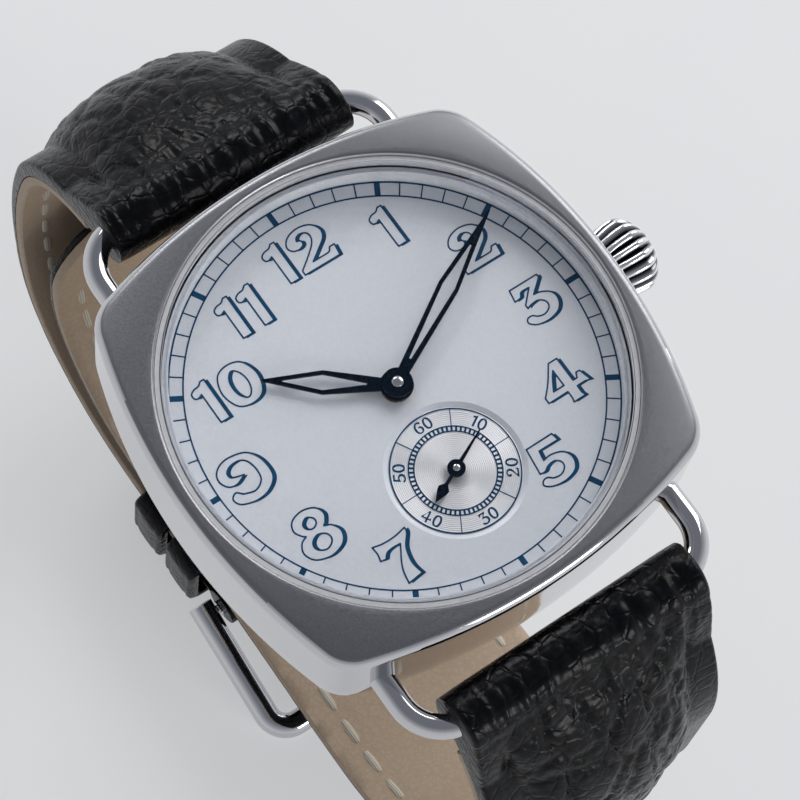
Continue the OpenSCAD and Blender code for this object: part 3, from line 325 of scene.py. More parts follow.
def turned_metal(name, colour, rough, centre, pitch, strength, metallic=0.85):
    """Metal turned on a lathe: fine rings about a centre."""
    mat, shader = material(name, colour, metallic, rough)
    coords = add(mat, "TexCoord").outputs["Object"]
    away = add(mat, "VectorMath", [(coords, 0)], operation="MULTIPLY")
    away.inputs[1].default_value = (1, 1, 0)
    far = add(mat, "VectorMath", [(away.outputs["Vector"], 0)], operation="DISTANCE")
    far.inputs[1].default_value = (centre[0] * MM, centre[1] * MM, 0)
    phase = maths(mat, "MULTIPLY", far.outputs["Value"], 2 * math.pi / (pitch * MM))
    dark = tuple(c * 0.9 for c in colour)
    colours(mat, shader, grain_of(mat, 300, 3, coords), [(0.3, dark), (0.7, colour)])
    bump(mat, shader, maths(mat, "SINE", phase), strength, 0.02)
    return mat


back_steel = turned_metal("turned_steel", (0.6, 0.6, 0.61), 0.27, (0, 0), 0.22, 0.25)
guilloche = turned_metal("guilloche_silver", (0.72, 0.72, 0.74), 0.38, SECONDS_AT, 0.14, 0.42,
                         0.75)


def grained(name, dark, light, rough, scale, detail, height, metallic=0.0, ends=(0.3, 0.7),
            rough_to=None, **sockets):
    """A plain material whose grain varies its colour and shows as bump."""
    mat, shader = material(name, light, metallic, rough, **sockets)
    grain = grain_of(mat, scale, detail)
    colours(mat, shader, grain, [(ends[0], dark), (ends[1], light)])
    if rough_to:
        roughen(mat, shader, grain, rough, rough_to)
    if height:
        bump(mat, shader, grain, height, GRAIN_DEEP)
    return mat


white = grained("silvered_lacquer", (0.6, 0.62, 0.665), (0.65, 0.67, 0.71), 0.36, 5000, 3, 0.15,
                0.2, (0.25, 0.75), 0.5)
bright = grained("bright_lacquer", (0.82, 0.83, 0.86), (0.9, 0.91, 0.93), 0.25, 2500, 2, 0.06, 0.2)
ink = grained("blue_ink", (0.001, 0.042, 0.1), (0.001, 0.056, 0.135), 0.4, 1800, 3, 0.1,
              Specular_IOR_Level=0.12)
crystal_rim = grained("ground_glass", (0.66, 0.68, 0.72), (0.73, 0.75, 0.79), 0.5, 2500, 2, 0.05)
ruby = grained("synthetic_ruby", (0.3, 0.005, 0.03), (0.62, 0.03, 0.1), 0.06, 900, 2, 0, IOR=1.76)
rubber = grained("seal_rubber", (0.012, 0.012, 0.013), (0.03, 0.03, 0.031), 0.6, 3000, 3, 0.2)
nylon = grained("seal_nylon", (0.66, 0.66, 0.68), (0.74, 0.74, 0.76), 0.35, 1500, 2, 0.1)


def glass():
    """Clear glass that lets the lamps through to what lies under it."""
    mat, shader = material("clear_glass", (1, 1, 1), 0.0, 0.0, IOR=1.4, Transmission_Weight=1.0,
                           Specular_Tint=(0.35, 0.38, 0.48, 1))
    roughen(mat, shader, grain_of(mat, 400, 2), 0.0, 0.012)
    clear = add(mat, "BsdfTransparent", Color=(0.95, 0.96, 0.97, 1))
    mixed(mat, add(mat, "LightPath").outputs["Is Shadow Ray"], shader, clear)
    return mat


crystal_glass = glass()


def leather(name, dark, light, cell, depth, rough, shine):
    """Leather's fine grain: small warped pebbles and thin wrinkles between them, with painted
    shade in the wrinkles and between the pebbles.
    """
    mat, shader = material(name, light, 0.0, rough, Specular_IOR_Level=shine)
    where = place(mat)
    bend = add(mat, "TexNoise", [(where, "Vector")], Scale=330.0, Detail=2.0)
    warp = add(mat, "VectorMath", [(bend.outputs["Color"], 0)], operation="SCALE",
               Scale=0.0011)
    moved = add(mat, "VectorMath",
                [(where, 0), (warp.outputs["Vector"], 1)], operation="ADD")
    small = add(mat, "TexVoronoi", [(moved.outputs["Vector"], "Vector")],
                feature="SMOOTH_F1", Scale=1 / (cell * MM), Smoothness=0.4)
    large = add(mat, "TexVoronoi", [(moved.outputs["Vector"], "Vector")],
                feature="DISTANCE_TO_EDGE", Scale=1 / (2.6 * cell * MM))
    fine = grain_of(mat, 2600, 3, where)
    pebble = spread(mat, small.outputs["Distance"], 1, 0, (0.1, 0.75))
    crease = spread(mat, large.outputs["Distance"], 0, 1, (0.0, 0.1))
    first = bump(mat, shader, fine, 0.12, 0.02)
    second = bump(mat, shader, crease, 0.6, depth, first)
    bump(mat, shader, pebble, 0.6, depth, second)
    # The base colour is darker in the wrinkles and round the pebbles' edges: painted shade.
    colours(mat, shader, maths(mat, "MULTIPLY", pebble, crease), [(0.0, dark), (0.7, light)])
    roughen(mat, shader, fine, rough * 0.88, rough * 1.15)
    return mat


black_leather = leather("black_leather", (0.0015, 0.0015, 0.002), (0.005, 0.0055, 0.0072), 0.62,
                        0.045, 0.27, 0.16)
beige_leather = leather("lining_leather", (0.52, 0.4, 0.29), (0.57, 0.445, 0.33), 0.35,
                        0.01, 0.6, 0.4)


def thread(name, dark, light):
    """Twisted sewing thread, with painted shade in the twist's grooves."""
    mat, shader = material(name, light, 0.0, 0.7)
    twist = add(mat, "TexWave", [(place(mat), "Vector")], Scale=1600.0, Distortion=2.0)
    # The colour darkens where the twist's bump is low: painted shade in its grooves.
    colours(mat, shader, twist.outputs["Fac"], [(0.2, dark), (0.8, light)])
    bump(mat, shader, twist.outputs["Fac"], 0.4, 0.04)
    return mat


pale_thread = thread("pale_thread", (0.52, 0.47, 0.38), (0.78, 0.73, 0.62))
dark_thread = thread("dark_thread", (0.006, 0.006, 0.007), (0.025, 0.026, 0.03))


FINISH = {
    back_steel: ["case_back"],
    brushed: ["setting_lever", "yoke", "crown_wheel", "ratchet_wheel", "click", "click_spring",
              "movement_ring", "barrel_arbor", "mainspring", "escape_wheel", "pallet_fork"],
    polished: ["cannon_pinion", "buckle_tongue", "buckle_bar", "winding_stem", "crown_tube"],
    plated: ["main_plate", "barrel_bridge", "train_bridge", "balance_cock", "pallet_bridge"],
    brass: ["winding_pinion", "sliding_pinion", "mainspring_barrel", "barrel_cover",
            "centre_wheel", "third_wheel", "fourth_wheel", "balance_wheel", "minute_wheel",
            "hour_wheel", "setting_wheel"],
    blued: ["casing_clamps", "bridge_screws", "hairspring", "hour_hand", "minute_hand",
            "seconds_hand"],
    rubber: ["back_gasket", "crown_gasket"],
    nylon: ["crystal_gasket"],
    ruby: ["plate_jewels", "bridge_jewels"],
    white: ["dial"],
    bright: ["flange_ring"],
    guilloche: ["seconds_dial"],
}
for finish, names in FINISH.items():
    for name in names:
        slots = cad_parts[name].data.materials
        slots.clear()
        slots.append(finish)


# ---- Case ----
corner_c = (CASE_HALF - SIDE_R + math.sqrt(
    2 * (SIDE_R - CORNER_R) ** 2 - (SIDE_R - CASE_HALF) ** 2)) / 2
side_ang = math.degrees(math.atan2(corner_c, corner_c + SIDE_R - CASE_HALF))
corner_reach = corner_c * math.sqrt(2) + CORNER_R
SIDE_STEPS, CORNER_STEPS, EDGE_STEPS = 32, 24, 8
FLANK_LO, FLANK_HI = 3.6, 8.9
facing = []
for mid in range(0, 360, 90):
    facing += list(np.linspace(mid - side_ang, mid + side_ang, SIDE_STEPS, False))
    facing += list(np.linspace(mid + side_ang, mid + 90 - side_ang, CORNER_STEPS, False))


def cushion_at(a, d):
    """A point of the cushion outline drawn in by d, where the outline faces the angle a."""
    quarter = math.floor((a + 45) / 90)
    b = math.radians(a - 90 * quarter)
    if abs(math.degrees(b)) <= side_ang + 0.001:
        x, y = CASE_HALF - SIDE_R + (SIDE_R - d) * math.cos(b), (SIDE_R - d) * math.sin(b)
    else:
        x = corner_c + (CORNER_R - d) * math.cos(b)
        y = math.copysign(corner_c, b) + (CORNER_R - d) * math.sin(b)
    c, s = cosd(90 * quarter), sind(90 * quarter)
    return x * c - y * s, x * s + y * c


def droop(x, y):
    """How far the top face falls towards the corners."""
    return TOP_DROOP * (max(0.0, math.hypot(x, y) - RIM_R) / (corner_reach - RIM_R)) ** 2


def flank_ring(d, z, fall=0):
    """The outline drawn in by d at the height z, with a share of the top's droop."""
    return [(x, y, z - fall * droop(x, y)) for x, y in (cushion_at(a, d) for a in facing)]


def round_ring(radius, z):
    """A round ring whose points lie on the lines from the axis to the top face's edge."""
    return [(radius * x / math.hypot(x, y), radius * y / math.hypot(x, y), z)
            for x, y in top_edge]


def rim_ring(share):
    """A ring on the top face, a share of the way from its edge to the bezel's round rim."""
    ring = []
    for (x, y), (qx, qy, _) in zip(top_edge, round_ring(RIM_R, 0)):
        mx, my = x * (1 - share) + qx * share, y * (1 - share) + qy * share
        ring.append((mx, my, CASE_TOP - droop(mx, my)))
    return ring


top_edge = [cushion_at(a, TOP_EDGE_R) for a in facing]
flank = [(2.4, CASE_LO), (1.75, 0.7), (1.2, 0.85), (0.78, 1.1), (0.45, 1.4), (0.24, 1.8),
         (0.1, 2.2), (0.03, 2.9), (0, FLANK_LO)]
rings = [flank_ring(d, z) for d, z in flank]
rings += [flank_ring(0, z, (z - FLANK_LO) / (FLANK_HI - FLANK_LO)) for z in (5.0, 6.5, 7.8, 8.6)]
rings += [flank_ring(TOP_EDGE_R * (1 - math.cos(a)), CASE_TOP - TOP_EDGE_R * (1 - math.sin(a)), 1)
          for a in np.linspace(0, math.pi / 2, EDGE_STEPS + 1)]
rings += [rim_ring(share) for share in (0.1, 0.25, 0.45, 0.65, 0.85)]
rings += [round_ring(r, z) for r, z in (
    (RIM_R, CASE_TOP), (RIM_R - 0.09, CASE_TOP - 0.02), (RIM_R - 0.17, CASE_TOP - 0.07),
    (BEZEL_BORE + 0.02, CASE_TOP - 0.16), (BEZEL_BORE, CASE_TOP - 0.3), (BEZEL_BORE, SEAT_Z),
    (DIAL_BORE, SEAT_Z), (DIAL_BORE, DIAL_LO), (RING_BORE, DIAL_LO), (RING_BORE, SHELF_Z),
    (BACK_BORE, SHELF_Z), (BACK_BORE, CASE_LO))]
case = piece("case_middle_fine", skin(rings, loop=True), polished, "case",
             ["case_middle"], 50)
# The flank stays polished. The top face is satin, its steel colour darkened as painted shade, and
# the bezel's bore has its own finish.
case.data.materials.append(satin)
case.data.materials.append(bezel_wall)
for polygon in case.data.polygons:
    c = polygon.center / MM
    away = math.hypot(c.x, c.y)
    if away < RIM_R + 0.02 and c.z > DIAL_LO - 0.01:
        polygon.material_index = 2 if away < RIM_R - 0.15 else 1
    elif polygon.normal.z > 0.85 and c.z > FLANK_HI:
        polygon.material_index = 1


# ---- Crystal ----
RIM_GAP, RIM_T, BEVEL, THICKER = 0.04, 0.42, 0.06, 0.2


def dome_profile():
    """The crystal's section: domed outside, rim, foot, rounded corner and domed underside."""
    steps = 40
    outside = CRYSTAL_R - RIM_GAP
    inner = outside - RIM_T
    below = EDGE_Z - CRYSTAL_T + THICKER
    outer = [(outside * i / steps, EDGE_Z + DOME * (1 - (i / steps) ** 2)) for i in range(steps)]
    outer[0] = (0.004, outer[0][1])
    outer += [(outside - BEVEL, EDGE_Z), (outside, EDGE_Z - BEVEL)]
    corner = [(inner - 0.25 + 0.25 * math.cos(a), below - 0.2 + 0.22 * math.sin(a))
              for a in np.linspace(0, math.radians(75), 7)]
    low = [(outside, SEAT_Z), (inner, SEAT_Z)] + corner
    under = [(inner * i / steps, below + (DOME - THICKER) * (1 - (i / steps) ** 2))
             for i in range(steps - 2, -1, -1)]
    under[-1] = (0.004, under[-1][1])
    return outer + low + under


crystal = piece("crystal_fine", revolve(dome_profile(), 300), crystal_glass, "case",
                ["crystal"], 30)
crystal.data.materials.append(crystal_rim)
for polygon in crystal.data.polygons:
    c = polygon.center / MM
    if math.hypot(c.x, c.y) > CRYSTAL_R - 0.75 and c.z < EDGE_Z - 0.02:
        polygon.material_index = 1


# ---- Wires and crown ----
def arc(cx, cy, r, a0, a1):
    """Points of a flat arc between two angles."""
    return [(cx + r * cosd(a), cy + r * sind(a), 0) for a in np.linspace(a0, a1, 15)]


def bracket(half, bar):
    """A leg and its bend, the straight bar, then the mirrored bend and leg."""
    return np.array(half + bar + [(-x, y, z) for x, y, z in reversed(half)])


def wire_path():
    straight = LEG_X - BEND_R
    half = [(LEG_X, y, 0) for y in np.linspace(LEG_END, BAR_Y - BEND_R - 0.3, 6)]
    half += arc(straight, BAR_Y - BEND_R, BEND_R, 0, 90)
    bar = [(x, BAR_Y, 0) for x in np.linspace(straight - 0.4, 0.4 - straight, 12)]
    return bracket(half, bar)


for side, name in ((1, "lug_wire_12"), (-1, "lug_wire_6")):
    path = wire_path() * (1, side, 1) + (0, 0, STEM_Z)
    piece(name + "_fine", sweep(path, WIRE_R), polished, "case", [name])


WIDEST, FOOT_SHARE, END_FALL = 0.62, 0.82, 0.72


def onion(s):
    """The crown's radius at the share s of its length. It is widest at WIDEST."""
    if s < WIDEST:
        swell = math.sin(math.pi / 2 * s / WIDEST)
        return CROWN_R * (FOOT_SHARE + (1 - FOOT_SHARE) * swell)
    return CROWN_R * math.sqrt(1 - ((s - WIDEST) / (1 - WIDEST)) ** 2 * END_FALL)


def crown_rings():
    """Rings with lobes between sharp grooves, and two more that ease the foot."""
    n, steps = FLUTES * 14, 36
    rings = []
    for s in np.linspace(0, 1, steps + 1):
        ring = []
        for a in circle(n):
            groove = (1 - abs(math.sin(FLUTES * a / 2))) * sind(30 + 120 * s)
            r = onion(s) - 1.2 * FLUTE_D * groove
            ring.append((CROWN_X + CROWN_LEN * s, -r * math.sin(a), STEM_Z - r * math.cos(a)))
        rings.append(ring)
    rings[0] = [(CROWN_X + 0.03, y * 0.985, STEM_Z + (z - STEM_Z) * 0.985)
                for x, y, z in rings[0]]
    rings.insert(0, [(CROWN_X, y * 0.96, STEM_Z + (z - STEM_Z) * 0.96) for x, y, z in rings[0]])
    return rings


def fluted_steel():
    """Polished steel with painted shade down in the crown's grooves and a painted highlight along
    each lobe's top.
    """
    mat, shader = material("fluted_steel", (0.7, 0.7, 0.71), 1.0, 0.18)
    split = add(mat, "SeparateXYZ", [(place(mat), "Vector")])
    high = maths(mat, "SUBTRACT", split.outputs["Z"], STEM_Z * MM)
    turn = maths(mat, "ARCTAN2", split.outputs["Y"], high)
    painted_light_mask = maths(mat, "ABSOLUTE", maths(mat, "SINE", maths(mat, "MULTIPLY", turn, FLUTES / 2)))
    # The ramp paints near-black shade into the grooves and a white highlight along the lobes'
    # tops.
    colours(mat, shader, painted_light_mask,
            [(0.12, (0.02, 0.02, 0.022)), (0.6, (0.3, 0.3, 0.31)), (0.92, (0.95, 0.95, 0.96))])
    roughen(mat, shader, grain_of(mat, 2500, 3), 0.15, 0.22)
    return mat


piece("crown_fine", skin(crown_rings()), fluted_steel(), "crown", ["crown"], 60)


def extrude(flat, faces, z0, z1):
    """A flat net of faces given thickness, with walls along its open edges."""
    oriented = []
    for face in faces:
        p = flat[list(face)]
        area = np.sum(p[:, 0] * np.roll(p[:, 1], -1) - np.roll(p[:, 0], -1) * p[:, 1])
        oriented.append(tuple(face) if area > 0 else tuple(reversed(face)))
    n = len(flat)
    used = dict.fromkeys(edge for face in oriented for edge in zip(face, face[1:] + face[:1]))
    walls = [(a, b, b + n, a + n) for a, b in used if (b, a) not in used]
    points = np.concatenate([np.column_stack([flat, np.full(n, z0)]),
                             np.column_stack([flat, np.full(n, z1)])])
    top = [tuple(i + n for i in face) for face in oriented]
    low = [tuple(reversed(face)) for face in oriented]
    return points, top + low + walls


# ---- Ink: numerals as open outlines with a heavier lower right edge ----
# Each digit's width and closed outlines in a box 10 high. A third number 1 marks a corner.
GLYPHS = {
    "0": (7.8, [[(3.9, 10), (6.4, 8.9), (7.5, 5.0), (6.4, 1.1), (3.9, 0), (1.4, 1.1), (0.3, 5.0),
     (1.4, 8.9)], [(3.9, 8.4), (2.8, 7.2), (2.4, 5.0), (2.8, 2.8), (3.9, 1.6), (5.0, 2.8),
     (5.4, 5.0), (5.0, 7.2)]]),
    "1": (7.0, [[(2.8, 0, 1), (5.7, 0, 1), (5.7, 10, 1), (4.5, 10, 1), (3.4, 9.3), (1.8, 9.1),
     (0.5, 8.4), (0.6, 7.3), (1.6, 7.0), (2.8, 7.4, 1)]]),
    "2": (8.3, [[(0.3, 0, 1), (7.6, 0, 1), (7.9, 2.7, 1), (6.9, 2.7, 1), (6.3, 1.8), (5.4, 1.7, 1),
     (2.9, 1.7, 1), (5.0, 3.5), (6.9, 5.3), (7.4, 7.3), (6.3, 9.3), (3.9, 10), (1.6, 9.2),
     (0.5, 7.5), (0.9, 6.1), (2.1, 5.6), (3.2, 6.1), (3.3, 7.1), (2.6, 7.5, 1), (2.9, 8.2),
     (3.8, 8.6), (4.9, 8.1), (5.2, 6.9), (4.5, 5.2), (2.4, 3.0), (0.3, 1.1, 1)]]),
    "3": (7.8, [[(1.0, 10, 1), (6.9, 10, 1), (6.9, 9.2, 1), (4.2, 6.5, 1), (5.6, 6.2), (7.2, 4.9),
     (7.4, 2.8), (6.2, 0.8), (3.8, 0), (1.5, 0.4), (0.3, 1.6), (0.6, 2.6), (1.6, 2.7),
     (2.5, 1.9), (3.8, 1.6), (5.1, 2.4), (5.3, 3.8), (4.3, 4.9), (2.8, 4.9), (1.8, 4.5, 1),
     (1.8, 5.4, 1), (4.3, 8.4, 1), (2.6, 8.4), (1.9, 7.4), (0.6, 7.2, 1)]]),
    "4": (8.6, [[(4.2, 10, 1), (5.9, 10, 1), (5.9, 4.1, 1), (6.7, 4.1, 1), (7.1, 5.2, 1),
     (7.8, 5.2, 1), (8.5, 2.2, 1), (7.5, 2.6, 1), (5.9, 2.6, 1), (5.9, 0.9, 1), (6.2, 0, 1),
     (3.8, 0, 1), (4.0, 0.9, 1), (4.0, 2.6, 1), (0.2, 2.6, 1), (0.2, 3.9, 1), (2.2, 6.6)],
     [(4.1, 8.2, 1), (3.2, 6.7), (2.0, 4.2, 1), (4.1, 4.2, 1)]]),
    "5": (7.8, [[(1.5, 10, 1), (6.9, 10, 1), (7.2, 8.2, 1), (3.2, 8.3, 1), (2.9, 6.1, 1),
     (4.6, 6.3), (6.7, 5.4), (7.5, 3.3), (6.6, 1.0), (4.2, 0), (1.7, 0.3), (0.3, 1.4),
     (0.6, 2.4), (1.6, 2.6), (2.5, 1.8), (4.0, 1.6), (5.2, 2.6), (5.3, 3.9), (4.3, 4.8),
     (2.9, 4.6), (1.9, 3.9), (0.9, 4.0, 1)]]),
    "6": (7.8, [[(4.0, 0), (1.5, 1.0), (0.3, 3.8), (0.6, 7.0), (2.4, 9.4), (4.9, 10), (6.8, 9.3),
     (7.3, 8.1), (6.5, 7.3), (5.5, 7.7), (5.0, 8.3, 1), (3.6, 8.0), (2.5, 6.2), (2.4, 3.8),
     (2.9, 2.1), (4.0, 1.5), (5.0, 1.9), (5.4, 3.1), (5.0, 4.4), (4.1, 4.7), (3.4, 4.1, 1),
     (3.5, 5.5), (4.8, 6.2), (6.4, 5.7), (7.4, 3.6), (6.7, 1.1)]]),
    "7": (7.6, [[(0.6, 10.2, 1), (2.6, 9.7), (5.0, 9.7), (7.2, 10.2, 1), (7.0, 9.0), (5.4, 6.4),
     (4.8, 3.0), (5.2, 0.2, 1), (2.2, -0.2, 1), (2.9, 3.4), (5.0, 7.8, 1), (3.4, 7.9),
     (2.2, 7.6), (1.4, 6.6, 1), (0.4, 6.8, 1), (0.7, 8.4)]]),
    "8": (7.8, [[(3.9, 10), (6.0, 9.3), (6.8, 7.6), (6.2, 6.1), (5.6, 5.5, 1), (6.8, 4.8),
     (7.5, 3.0), (6.5, 0.9), (3.9, 0), (1.3, 0.9), (0.3, 3.0), (1.0, 4.8), (2.2, 5.5, 1),
     (1.6, 6.1), (1.0, 7.6), (1.8, 9.3)], [(3.9, 8.5), (3.0, 7.9), (2.8, 7.2), (3.1, 6.5),
     (3.9, 6.1), (4.7, 6.5), (5.0, 7.2), (4.8, 7.9)], [(3.9, 4.7), (2.7, 4.1), (2.3, 3.1),
     (2.7, 2.1), (3.9, 1.5), (5.1, 2.1), (5.5, 3.1), (5.1, 4.1)]]),
    "9": (8.3, [[(3.9, 10), (6.7, 9.1), (8.2, 6.4), (8.2, 2.6), (6.2, 0.5), (3.6, 0), (1.0, 0.9),
     (0.3, 2.5), (1.3, 3.4), (2.3, 2.4, 1), (4.4, 1.8), (6.1, 3.0), (6.5, 5.2), (6.0, 7.5),
     (4.8, 8.5), (3.0, 8.4), (2.0, 7.5), (2.1, 6.5), (3.0, 6.0), (4.3, 5.6, 1), (2.4, 4.7),
     (0.9, 5.1), (0.1, 6.8), (0.5, 8.5), (1.9, 9.7)]]),
}


def smooth_outline(loop, steps=7):
    """A closed outline through the loop's points, straight between two corners."""
    p = np.array([q[:2] for q in loop], float)
    sharp = [len(q) > 2 for q in loop]
    n = len(p)
    out = []
    for i in range(n):
        k, before, after = (i + 1) % n, (i - 1) % n, (i + 2) % n
        if sharp[i] and sharp[k]:
            out.append(p[i])
            continue
        a = p[k] - p[i] if sharp[i] else (p[k] - p[before]) / 2
        b = p[k] - p[i] if sharp[k] else (p[after] - p[i]) / 2
        for t in np.arange(steps) / steps:
            out.append((2 * t**3 - 3 * t**2 + 1) * p[i] + (t**3 - 2 * t**2 + t) * a
                       + (3 * t**2 - 2 * t**3) * p[k] + (t**3 - t**2) * b)
    return np.array(out)


def signed_distance(loops, x, y):
    """Distance to the outlines, below 0 inside them."""
    best, inside = np.full(x.shape, 1e9), np.zeros(x.shape, bool)
    for loop in loops:
        for (x0, y0), (x1, y1) in zip(loop, np.roll(loop, -1, axis=0)):
            dx, dy = x1 - x0, y1 - y0
            t = np.clip(((x - x0) * dx + (y - y0) * dy) / (dx * dx + dy * dy + 1e-12), 0, 1)
            best = np.minimum(best, (x - x0 - t * dx) ** 2 + (y - y0 - t * dy) ** 2)
            if y0 != y1:
                inside ^= ((y0 > y) != (y1 > y)) & (x < (x1 - x0) * (y - y0) / (y1 - y0) + x0)
    return np.where(inside, -1, 1) * np.sqrt(best)


def filled(field, x, y):
    """Flat faces over the places where the field is below 0, cut along its zero line."""
    index, flat, faces = {}, [], []

    def point(key, value):
        if key not in index:
            index[key] = len(flat)
            flat.append(value)
        return index[key]

    low = np.minimum(np.minimum(field[:-1, :-1], field[1:, :-1]),
                     np.minimum(field[:-1, 1:], field[1:, 1:]))
    for i, j in zip(*np.nonzero(low < 0)):
        corners = [(i, j), (i, j + 1), (i + 1, j + 1), (i + 1, j)]
        face = []
        for k in range(4):
            a, b = corners[k], corners[(k + 1) % 4]
            fa, fb = field[a], field[b]
            if fa < 0:
                face.append(point(a, (x[a], y[a])))
            if (fa < 0) != (fb < 0):
                t = fa / (fa - fb)
                face.append(point(tuple(sorted((a, b))),
                                  (x[a] + t * (x[b] - x[a]), y[a] + t * (y[b] - y[a]))))
        if len(face) > 2:
            faces.append(tuple(face))
    return np.array(flat), faces


def number(label, tall, centre, turn, z0, z1, line=0.0, shade=0.0, step=0.05, broad=1.0, thin=0.0):
    """A number at centre, turned clockwise. line makes it an open outline."""
    scale = np.array((tall / 10 * broad, tall / 10))
    loops, cursor = [], 0.0
    for i, digit in enumerate(label):
        width, glyph = GLYPHS[digit]
        slim = (0.78 / broad if line else 0.72) if digit == "1" else 1.0
        loops += [(smooth_outline(loop) * (slim, 1) + (cursor, 0)) * scale for loop in glyph]
        cursor += width * slim
    middle = np.array((cursor * scale[0] / 2, tall / 2))
    loops = [loop - middle for loop in loops]
    reach = middle + line + shade + 0.1
    x, y = np.meshgrid(*(np.arange(-r, r, step) for r in reach))
    field = signed_distance(loops, x, y)
    if line:
        moved = signed_distance([loop + (shade, -0.6 * shade) for loop in loops], x, y)
        field = np.minimum(np.abs(field) - line, np.maximum(moved, -field))
    flat, faces = filled(field + thin, x, y)
    c, s = cosd(-turn), sind(-turn)
    flat = flat @ np.array(((c, s), (-s, c))) + centre
    return extrude(flat, faces, z0, z1)


INK_T = 0.02
TRACK_IN, TRACK_OUT = 14.89, 15.99
top = DIAL_Z + INK_T
track = [band(r - half, r + half, DIAL_Z, top)
         for r, half in ((TRACK_IN, 0.06), (TRACK_OUT, 0.07))]
track += [box_bar(clock(TRACK_IN, minute), clock(TRACK_OUT, minute), 0.1 if minute % 5 else 0.42,
                  DIAL_Z, top) for minute in range(60)]
piece("minute_track", join(track), ink, "case")

HOUR_AT = {1: (6.6, 10.5), 2: (10.9, 6.0), 3: (12.25, 0), 4: (10.15, -6.05), 5: (5.95, -10.45),
           7: (-6.85, -10.5), 8: (-10.75, -5.8), 9: (-12.55, 0.25), 10: (-9.9, 6.2),
           11: (-5.75, 10.6), 12: (0.2, 12.25)}
HOUR_TALL = {8: 3.8, 9: 3.65}
HOUR_BROAD = {4: 1.3, 8: 1.14, 9: 1.15}
HOUR_LINE, HOUR_SHADE, HOUR_STEP = 0.06, 0.22, 0.04
numerals = [
    number(str(hour), HOUR_TALL.get(hour, 3.35), centre, 0, DIAL_Z, top, HOUR_LINE, HOUR_SHADE,
           HOUR_STEP, HOUR_BROAD.get(hour, 1.22)) for hour, centre in HOUR_AT.items()]
piece("hour_numerals", join(numerals), ink, "case")

RING_OUT, TICK_OUT, TICK_IN, SMALL_R = 4.62, 3.3, 2.93, 3.97
top = SECONDS_Z + INK_T


def around(r, second):
    """A place on the small seconds' dial."""
    x, y = clock(r, second)
    return x + SECONDS_AT[0], y + SECONDS_AT[1]


small = [band(r - half, r + half, SECONDS_Z, top, SECONDS_AT, 160)
         for r, half in ((RING_OUT, 0.055), (TICK_OUT, 0.05), (TICK_IN, 0.05))]
for seconds, r0, r1, width in ((range(60), TICK_IN, TICK_OUT, 0.15),
                               (range(5, 60, 10), TICK_OUT, RING_OUT, 0.07)):
    small += [box_bar(around(r0, s), around(r1, s), width, SECONDS_Z, top) for s in seconds]
small += [number(str(s), 0.94, around(SMALL_R, s), turn, SECONDS_Z, top, step=0.022, thin=0.022)
          for s, turn in ((60, 0), (10, 60), (20, -60), (30, 0), (40, 60), (50, -60))]
piece("seconds_print", join(small), ink, "case")


def arbor_cap(r, z, centre=(0, 0)):
    """Polished domed end of the arbor that carries a hand."""
    dome = [(max(0.004, r * math.sin(a)), z - 0.03 + 0.3 * r * math.cos(a))
            for a in np.linspace(0, math.pi / 2, 9)]
    return revolve(dome + [(r, z - 0.06), (0.004, z - 0.06)], 48, centre)


piece("seconds_arbor_cap", arbor_cap(0.26, SECONDS_PIN_TOP, SECONDS_AT), polished,
      "seconds_hand")
piece("hands_arbor_cap", arbor_cap(0.4, CANNON_TOP), polished, "minute_hand")


# ---- Strap ----
def way(runs, s, lean):
    """Place (y, z) and heading at the length s along a strap half, from the wire at (22, 0)."""
    y, z, h = BAR_Y, 0.0, -lean
    for i, (length, turn) in enumerate(runs):
        last = s <= length or i == len(runs) - 1
        part = s if last else length
        bend = turn * part / length
        if abs(bend) < 1e-4:
            y += part * cosd(h)
            z += part * sind(h)
        else:
            r = part / math.radians(bend)
            y += r * (sind(h + bend) - sind(h))
            z += r * (cosd(h) - cosd(h + bend))
        h += bend
        if last:
            return y, z, h
        s -= length


def total(runs):
    return sum(length for length, _ in runs)


def ease(a, b, s):
    """From a to b as s goes from 0 to 1, level at both ends."""
    s = min(1.0, max(0.0, s))
    return a + (b - a) * (3 * s * s - 2 * s * s * s)


def thick_at(s, l):
    """Full thickness at the length s of a strap half of length l."""
    return ease(STRAP_T, STRAP_END_T, s / (0.62 * l))


def wide_at(s, l):
    return STRAP_W + (STRAP_END_W - STRAP_W) * max(0.0, s) / l


def tip_share(s, l, tip):
    """Share of the width left at s, where the last stretch of length tip is rounded."""
    if not tip:
        return 1.0
    near = min(1.0, max(0.02, (l - s + 0.3) / tip))
    return math.sqrt(1 - (1 - near) ** 2)


def place_section(runs, lean, side, s, x, q):
    """Points across the strap at s: x sideways and q out of the wrist's side."""
    y, z, h = way(runs, s, lean)
    c, n = cosd(h), sind(h)
    return np.column_stack([x, side * (y - q * n), STEM_Z + z + q * c])


def wave(*at):
    return noise.noise(Vector(at))


def seam(*at):
    """0 on the line between two cells of scattered points, and more away from it."""
    near = noise.voronoi(Vector(at))[0]
    return near[1] - near[0]


def relief(s, x, seed):
    """Height of the leather in mm: domed plates, small pebbles between them and long creases."""
    u = s + 1.4 * wave(s * 0.3, x * 0.3, seed)
    v = x + 1.2 * wave(s * 0.3, x * 0.3, seed + 9)
    plate = 1 - min(1.0, seam(u / 3.3, v / 2.6, seed) / 0.55)
    pebble = 1 - min(1.0, seam(u / 1.15, v / 0.95, seed + 5) / 0.5)
    crease = max(0.0, 1 - abs(wave(u * 0.11 + 4, v * 0.3, seed + 2)) / 0.06)
    return -0.24 * plate**2 - 0.06 * pebble**2 * (0.3 + plate) - 0.15 * crease


